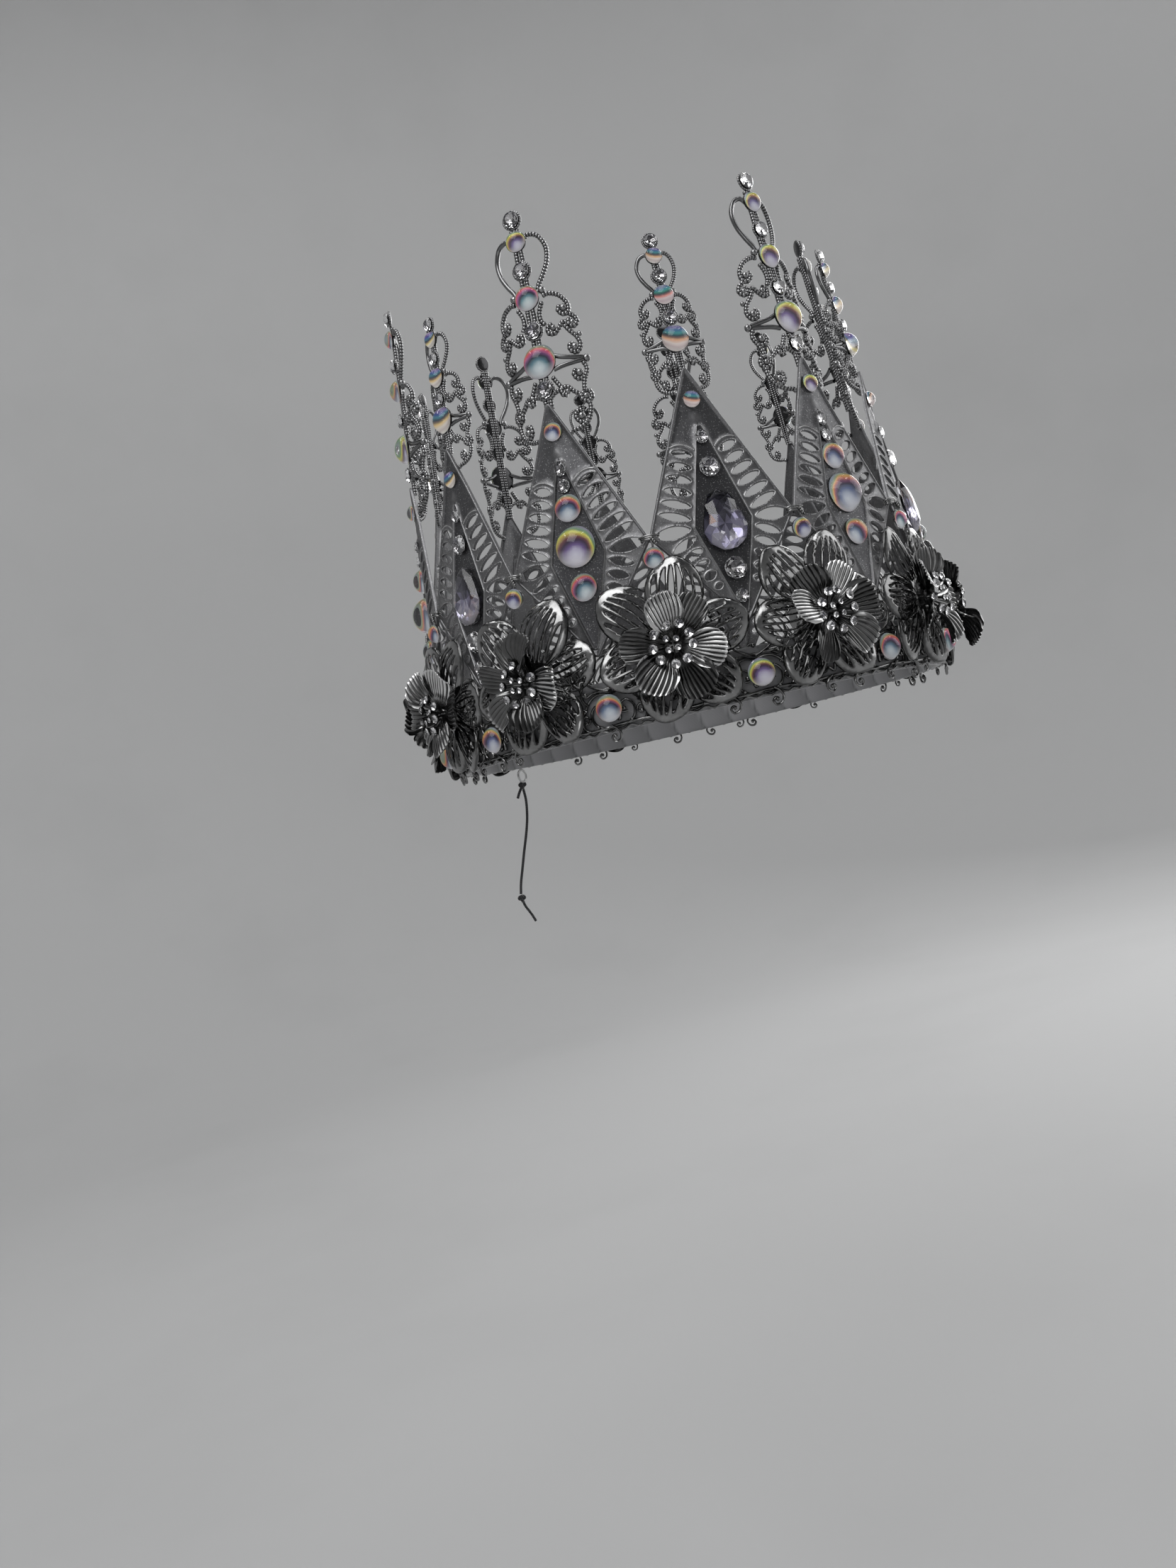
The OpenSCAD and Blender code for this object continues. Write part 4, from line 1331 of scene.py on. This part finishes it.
UPPER_LIFT = 3  # height of an upper flower above the lower one's plane
for k, number in NUMBERED:
    spin = about("Z", rng.uniform(-9, 9))
    piece(f"lower_flower_openwork_{number}", lower_meshes[(k * 2 + k // 5) % LOWER_VARIANTS],
          "flower_metal", [f"lower_flower_{number}"],
          at_angle(k - 0.5, FLOWER_R, FLOWER_Z) @ spin)
    spin = about("Z", rng.uniform(0, 360))
    piece(f"upper_flower_pleated_{number}", upper_meshes[(k * 3 + k // 4) % UPPER_VARIANTS],
          "petal_metal", [f"upper_flower_{number}"],
          at_angle(k - 0.5, FLOWER_R, FLOWER_Z) @ shift(z=(UPPER_LIFT + 0.3) * MM) @ spin)


# ---- stamens ------------------------------------------------------------------------

stamen_glass, stamen_backs, stamen_metal = Parts(), Parts(), Parts()
RING_STAMENS, RING_STAMEN_R, RING_STAMEN_H, STAMEN_D = 9, 5.5, 8.3, 3.0
INNER_STAMENS, INNER_STAMEN_R, INNER_STAMEN_H, INNER_STAMEN_D = 4, 1.9, 8.6, 1.9
DRAWN_STAMEN_D = 2.84  # the cup and crystal below are drawn at this diameter, then scaled
for k in range(1, SPIRES + 1):
    middle = in_mm(at_angle(k - 0.5, FLOWER_R, FLOWER_Z))
    tips = []
    start = rng.uniform(0, 40)
    for count, radius, height, d, offset in (
        (RING_STAMENS, RING_STAMEN_R, RING_STAMEN_H, STAMEN_D, start),
        (INNER_STAMENS, INNER_STAMEN_R, INNER_STAMEN_H, INNER_STAMEN_D, 20 + start),
    ):
        for i in range(count):
            a = math.radians(360 / count * i + offset + rng.uniform(-5, 5))
            r = radius + rng.uniform(-0.25, 0.35)
            tips.append((np.array((r * math.cos(a), r * math.sin(a),
                                   height + rng.uniform(-0.9, 0.4))), d / DRAWN_STAMEN_D))
    for tip, size in tips:
        root = np.array((tip[0] * 0.24, tip[1] * 0.24, UPPER_LIFT + 1.2))
        way = (tip - root) / np.linalg.norm(tip - root)
        bow = smooth_path([root, (root + tip) / 2 + (0, 0, -0.3), tip - way * size], 0.5)
        pts, faces = tube(bow, 0.25, 6)
        stamen_metal.add(pts, faces, 0.3, place=middle)
        aim = Vector(way * 0.6 + (0, 0, 1)).normalized()
        stand = (middle @ Matrix.Translation(tip) @ aim.to_track_quat("Z", "Y").to_matrix().to_4x4()
                 @ Matrix.Scale(size, 4))
        stamen_metal.turn([(0, -1.15), (0.7, -1.05), (1.25, -0.5), (1.42, 0.0), (1.42, 0.16),
                           (1.27, 0.18), (1.1, -0.35), (0, -0.7)], 18, 0.45, place=stand)
        pts, faces = facets([(1.26, 0.0), (1.3, 0.12), (1.05, 0.6), (0.66, 0.95)], 8,
                            top=(0, 0, 1.02), bottom=(0, 0, -0.35))
        stamen_glass.add(pts, faces, 0.0, place=stand)
        down = (middle.inverted() @ stand).to_3x3().inverted() @ Vector((0, -1, 0))
        down.normalize()
        ring = [(1.24 * math.cos(math.pi * j / 5), 1.24 * math.sin(math.pi * j / 5), 0.02)
                for j in range(10)]
        # painted light: foil cells facing down the crown are lighter, those facing up darker
        add_foil(stamen_backs, [(0, 0, -0.42)] + ring, disc_faces(1, 10),
                 lambda c: 0.3 + 1.1 * (Vector(c[1]) + Vector(c[2])).normalized().dot(down),
                 0.15, stand)
gathered("stamen_crystal_tops", stamen_glass, 1, "crystal", ["stamen_crystals"])
gathered("stamen_foils", stamen_backs, 1, "mirror")
gathered("stamen_cups_and_wires", stamen_metal, 50, "flower_metal",
         ["stamen_wires"])


# ---- base filigree ------------------------------------------------------------------


def wrap(points, radius):
    """Bends flat points (along, up, out) round the crown, with the front at along = 0."""
    p = np.asarray(points, float)
    a = p[:, 0] / radius - math.pi / 2
    r = radius + p[:, 2]
    return np.stack([r * np.cos(a), r * np.sin(a), p[:, 1]], 1)


def make_filigree():
    parts = Parts()
    radius = PANEL_R + 0.5
    units = 24
    width = 2 * math.pi * radius / units
    curls = [
        [(0, 1.4), (3, 1.6), (6, 3.4), (6.6, 6.6), (4.6, 8.6), (2.6, 7.4), (2.9, 5.4), (4.4, 5.2)],
        [(0, 12), (2.6, 13), (5.4, 14.8), (6.6, 18), (5, 20.6), (2.8, 20), (2.4, 18), (3.8, 17)],
        [(7, 9), (8.4, 11), (8.6, 14), (10.4, 16.4), (10.7, 19)],
        [(0, 11), (3.4, 11.6), (6.6, 10.2), (9, 7), (10.7, 4)],
        [(10.7, 21), (8.6, 22.6), (7.2, 25.2), (8.6, 27.4), (10.4, 26.4), (9.8, 24.8)],
        [(0, 22.6), (2.2, 23.2), (4.4, 25.4), (3.4, 28.2), (1.4, 27.8), (1.2, 26)],
        [(0, 4.6), (1.6, 3.4), (1.8, 6.2), (0.4, 8), (0, 9.6)],
        [(7.6, 1.6), (9.4, 2.6), (9.8, 5), (8.2, 6.4), (7.2, 5), (8.2, 4)],
        [(10.7, 7), (9.2, 8.6), (7.8, 7.6)],
        [(0, 1), (2.2, 0.4), (4.6, 1.2), (7, 0.3), (9, 1), (10.7, 0.4)],
        [(5, 12.4), (7, 11.6), (8.2, 13), (7.4, 14.8)],
    ]
    dots = [(3.6, 6.2, 0.75), (3.6, 18.4, 0.75), (9.2, 25.6, 0.8), (2.1, 26.8, 0.85),
            (7, 12.4, 0.7), (0, 15, 0.8), (10.6, 12, 0.7), (5.4, 23.6, 0.8), (8.6, 4.4, 0.7),
            (1.2, 9.6, 0.6), (5.2, 2.6, 0.6), (10.4, 5.6, 0.6)]
    local = np.random.default_rng(9)
    for i in range(units):
        for side in (1, -1):
            for c, points in enumerate(curls):
                depth = 0.25 * math.sin(c * 2.1 + side)
                flat = [(i * width + side * x, y, depth + 0.25 * math.sin(x + y))
                        for x, y in points]
                path = wrap(smooth_path(flat, 0.75), radius)
                r = 0.52 * (1 - 0.25 * np.linspace(0, 1, len(path)) ** 2)
                pts, faces = tube(path, r, 6, flat=0.85)
                parts.add(pts, faces, 0.5)
            for x, y, r in dots:
                ball(parts, wrap([(i * width + side * x, y, 0.3)], radius)[0], r, 1, 0.6)
    scroll = [(0, 2.4), (1.6, 1.2), (2.6, -0.8), (1.8, -2.7), (0, -3.1), (-0.9, -1.8), (0, -0.8),
              (0.9, -1.3)]
    for i in range(2 * units):
        if local.random() < 0.55:
            continue
        size, hand = local.uniform(0.65, 1.0), local.choice([-1, 1])
        at = (i + local.uniform(-0.3, 0.3)) * width / 2
        flat = [(at + hand * size * x, 1 + size * (y - 1), 0.5 + 0.12 * y) for x, y in scroll]
        path = wrap(smooth_path(flat, 0.5), radius)
        parts.add(*tube(path, 0.46 * size, 6), 0.5)
        ball(parts, wrap([(at + hand * size * 0.5, 1 + size * (-1.5 - 1), 0.4)], radius)[0],
             0.75 * size, 1, 0.6)
    for z, r in ((1.9, 0.5), (12.6, 0.45), (23.2, 0.45)):
        a = np.linspace(0, 2 * math.pi, 220, endpoint=False)
        path = np.stack([radius * np.cos(a), radius * np.sin(a), z + 0.25 * np.sin(a * 24)], 1)
        parts.add(*tube(path, r, 6, closed=True), 0.5)
    for k in range(1, SPIRES + 1):
        place = in_mm(at_angle(k - 1, PANEL_R, LOW_CAB_Z))
        parts.turn([(0, 0.2), (1.6, 0.2), (1.6, 1.6), (3.2, 2.4), (3.7, 2.95), (0, 2.97)], 28, 0.5,
                   place=place)
    return parts.mesh("base_filigree_scrolls", sharp=60)


piece("base_filigree_scrolls", make_filigree(), "filigree_metal",
      ["base_filigree"])


# ---- ribbon -------------------------------------------------------------------------


def make_ribbon():
    """A satin ribbon wound round the hoop, each turn lapping over the last."""
    turns, around = 46, 736
    inner = RIBBON_R - 2.2
    profile = []
    half_w, half_h = 1.1, BAND_H / 2
    n = 30
    for i in range(n):
        a = 2 * math.pi * i / n
        c, s = math.cos(a), math.sin(a)
        x = half_w * math.copysign(abs(c) ** 0.5, c)
        z = half_h * math.copysign(abs(s) ** 0.35, s)
        profile.append((x, z))
    centre = inner + half_w
    points, tones = [], []
    for j in range(around):
        a = 2 * math.pi * j / around
        for x, z in profile:
            lean = 0.5 * z / half_h * (1 if x > 0 else -1)
            phase = (turns * a / (2 * math.pi) + lean * 0.45) % 1
            fold = 0.14 * phase - 0.07
            lap_shadow = bump(phase, 0.08) + bump(1 - phase, 0.08)
            waver = 0.05 * math.sin(7 * a + z) + 0.04 * math.sin(23 * a - 0.6 * z)
            scale = 1 - 0.06 + (fold + 0.4 * waver) * 0.5
            xx = x * scale
            points.append(((centre + xx) * math.cos(a), (centre + xx) * math.sin(a),
                           half_h + z * (0.985 + 0.01 * fold)))
            # painted shade: each turn darker where it goes under the next and along the step
            # between turns, lighter towards the edge that laps over
            tones.append(float(np.clip(0.35 + 0.6 * phase - 0.5 * lap_shadow, 0, 1)))
    faces = []
    for j in range(around):
        m = (j + 1) % around
        for i in range(n):
            i2 = (i + 1) % n
            faces.append([j * n + i, m * n + i, m * n + i2, j * n + i2])
    parts = Parts()
    parts.add(points, faces, np.array(tones))
    return parts.mesh("ribbon_wrap_satin")


piece("ribbon_wrap_satin", make_ribbon(), "ribbon", ["ribbon_wrap"])


# ---- wire ties ----------------------------------------------------------------------


def make_ties():
    parts = Parts()
    for k in range(1, SPIRES + 1):
        place = in_mm(at_angle(k - 0.5, SHOULDER_R - 0.6, SHOULDER_Z))
        turns = 3
        t = np.linspace(0, 1, 90)
        a = 2 * math.pi * turns * t
        path = np.stack([(2.6 - 0.25 * np.sin(5 * t)) * np.cos(a), -0.8 + 1.6 * t + 0.3 * np.sin(a),
                         1.35 * np.sin(a)], 1)
        parts.add(*tube(path, 0.3, 6), 0.5, place=place)
        for s in (1, -1):
            b = np.linspace(0, 1, 26)
            tail = np.stack([s * 0.28 * np.cos(b * 11) + 1.1 * b + 0.4, 0.2 - 2.4 * b,
                             1.5 + 0.28 * s * np.sin(b * 11) + 0.3 * b], 1)
            parts.add(*tube(tail, 0.27, 6), 0.5, place=place)
        z = JUNCTION_CAB_Z - SHOULDER_Z
        parts.turn([(0, 0.75), (2.7, 0.75), (2.95, 1.0), (2.95, 1.38), (0, 1.38)], 28, 0.5,
                   (0, z, 0), place)
        stem = smooth_path([(0.2, -0.8, 1.3), (0.5, -2.2, 1.1), (0, z + 1.5, 1.05)], 0.4)
        parts.add(*tube(stem, 0.3, 6), 0.5, place=place)
    return parts.mesh("plate_ties_twisted", sharp=60)


piece("plate_ties_twisted", make_ties(), "tie_wire", ["plate_ties"])


# ---- carried-over nodes -------------------------------------------------------------

for name in ("band_hoop", "tie_loop"):
    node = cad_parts[name]
    if not node.material_slots:
        node.data.materials.append(None)
    for s in node.material_slots:
        s.link = "OBJECT"
        s.material = MATERIALS["hoop_steel"]


# ---- stage and light ----------------------------------------------------------------


FLOOR_Z, WALL_R = -0.30, 2.2
WALL_LIGHTS_AT = (16, 76, 136, 316)


def make_stage():
    """A floor that curves up into a round wall, the same from every side."""
    bend, top, sides = 0.9, 1.7, 96
    profile = [(0.0, FLOOR_Z)]
    profile += [(r, FLOOR_Z) for r in np.linspace(0.2, WALL_R - bend, 7)]
    for i in range(1, 13):
        a = math.pi / 2 * i / 12
        profile.append((WALL_R - bend + bend * math.sin(a), FLOOR_Z + bend - bend * math.cos(a)))
    profile.append((WALL_R, top))
    points = [(0, 0, FLOOR_Z)]
    for r, z in profile[1:]:
        points += [(r * math.cos(2 * math.pi * j / sides), r * math.sin(2 * math.pi * j / sides), z)
                   for j in range(sides)]
    faces = disc_faces(len(profile) - 1, sides)
    mesh = bpy.data.meshes.new("studio_sweep")
    mesh.from_pydata(points, [], faces)
    mesh.shade_smooth()
    mesh.materials.append(paper_look("pale_paper", 0.42))
    obj = bpy.data.objects.new("studio_sweep", mesh)
    bpy.context.scene.collection.objects.link(obj)


def area_light(name, position, target, size, power):
    data = bpy.data.lights.new(name, "AREA")
    data.shape = "RECTANGLE"
    data.size, data.size_y = size
    data.energy = power
    obj = bpy.data.objects.new(name, data)
    bpy.context.scene.collection.objects.link(obj)
    look(obj, position, target, (0, 0, 1) if abs(position[2]) < 1.3 else (0, 1, 0.01))


LIGHTS = [  # name, position, target, both sides of the panel, watts
    ("key", (-1.0, -0.5, 1.3), (0, 0, 0.05), 1.2, 15),
    ("right", (1.3, -0.7, 0.6), (0, 0, 0.08), 1.4, 9),
    ("top", (-0.1, -0.1, 1.6), (0, 0, 0), 1.0, 6),
    ("rim", (1.3, 0.5, 0.5), (0, 0, 0.04), 0.7, 6),
    ("low", (-1.1, -0.75, -0.12), (0, 0, 0.03), 0.5, 1.1),
]

make_stage()
for name, position, target, side, power in LIGHTS:
    area_light(name, position, target, (side, side), power)
for i, degrees in enumerate(WALL_LIGHTS_AT):
    x, y = math.cos(math.radians(degrees)), math.sin(math.radians(degrees))
    area_light(f"wall_{i}", (x, y, 1.55), (WALL_R * x, WALL_R * y, 0.35), (0.9, 0.4), 7)
world = bpy.data.worlds.new("studio")
world.use_nodes = True
sky = world.node_tree.nodes["Background"].inputs
sky["Color"].default_value = (0.5, 0.51, 0.53, 1)
sky["Strength"].default_value = 0.12
bpy.context.scene.world = world
bpy.context.scene.view_settings.view_transform = "Standard"
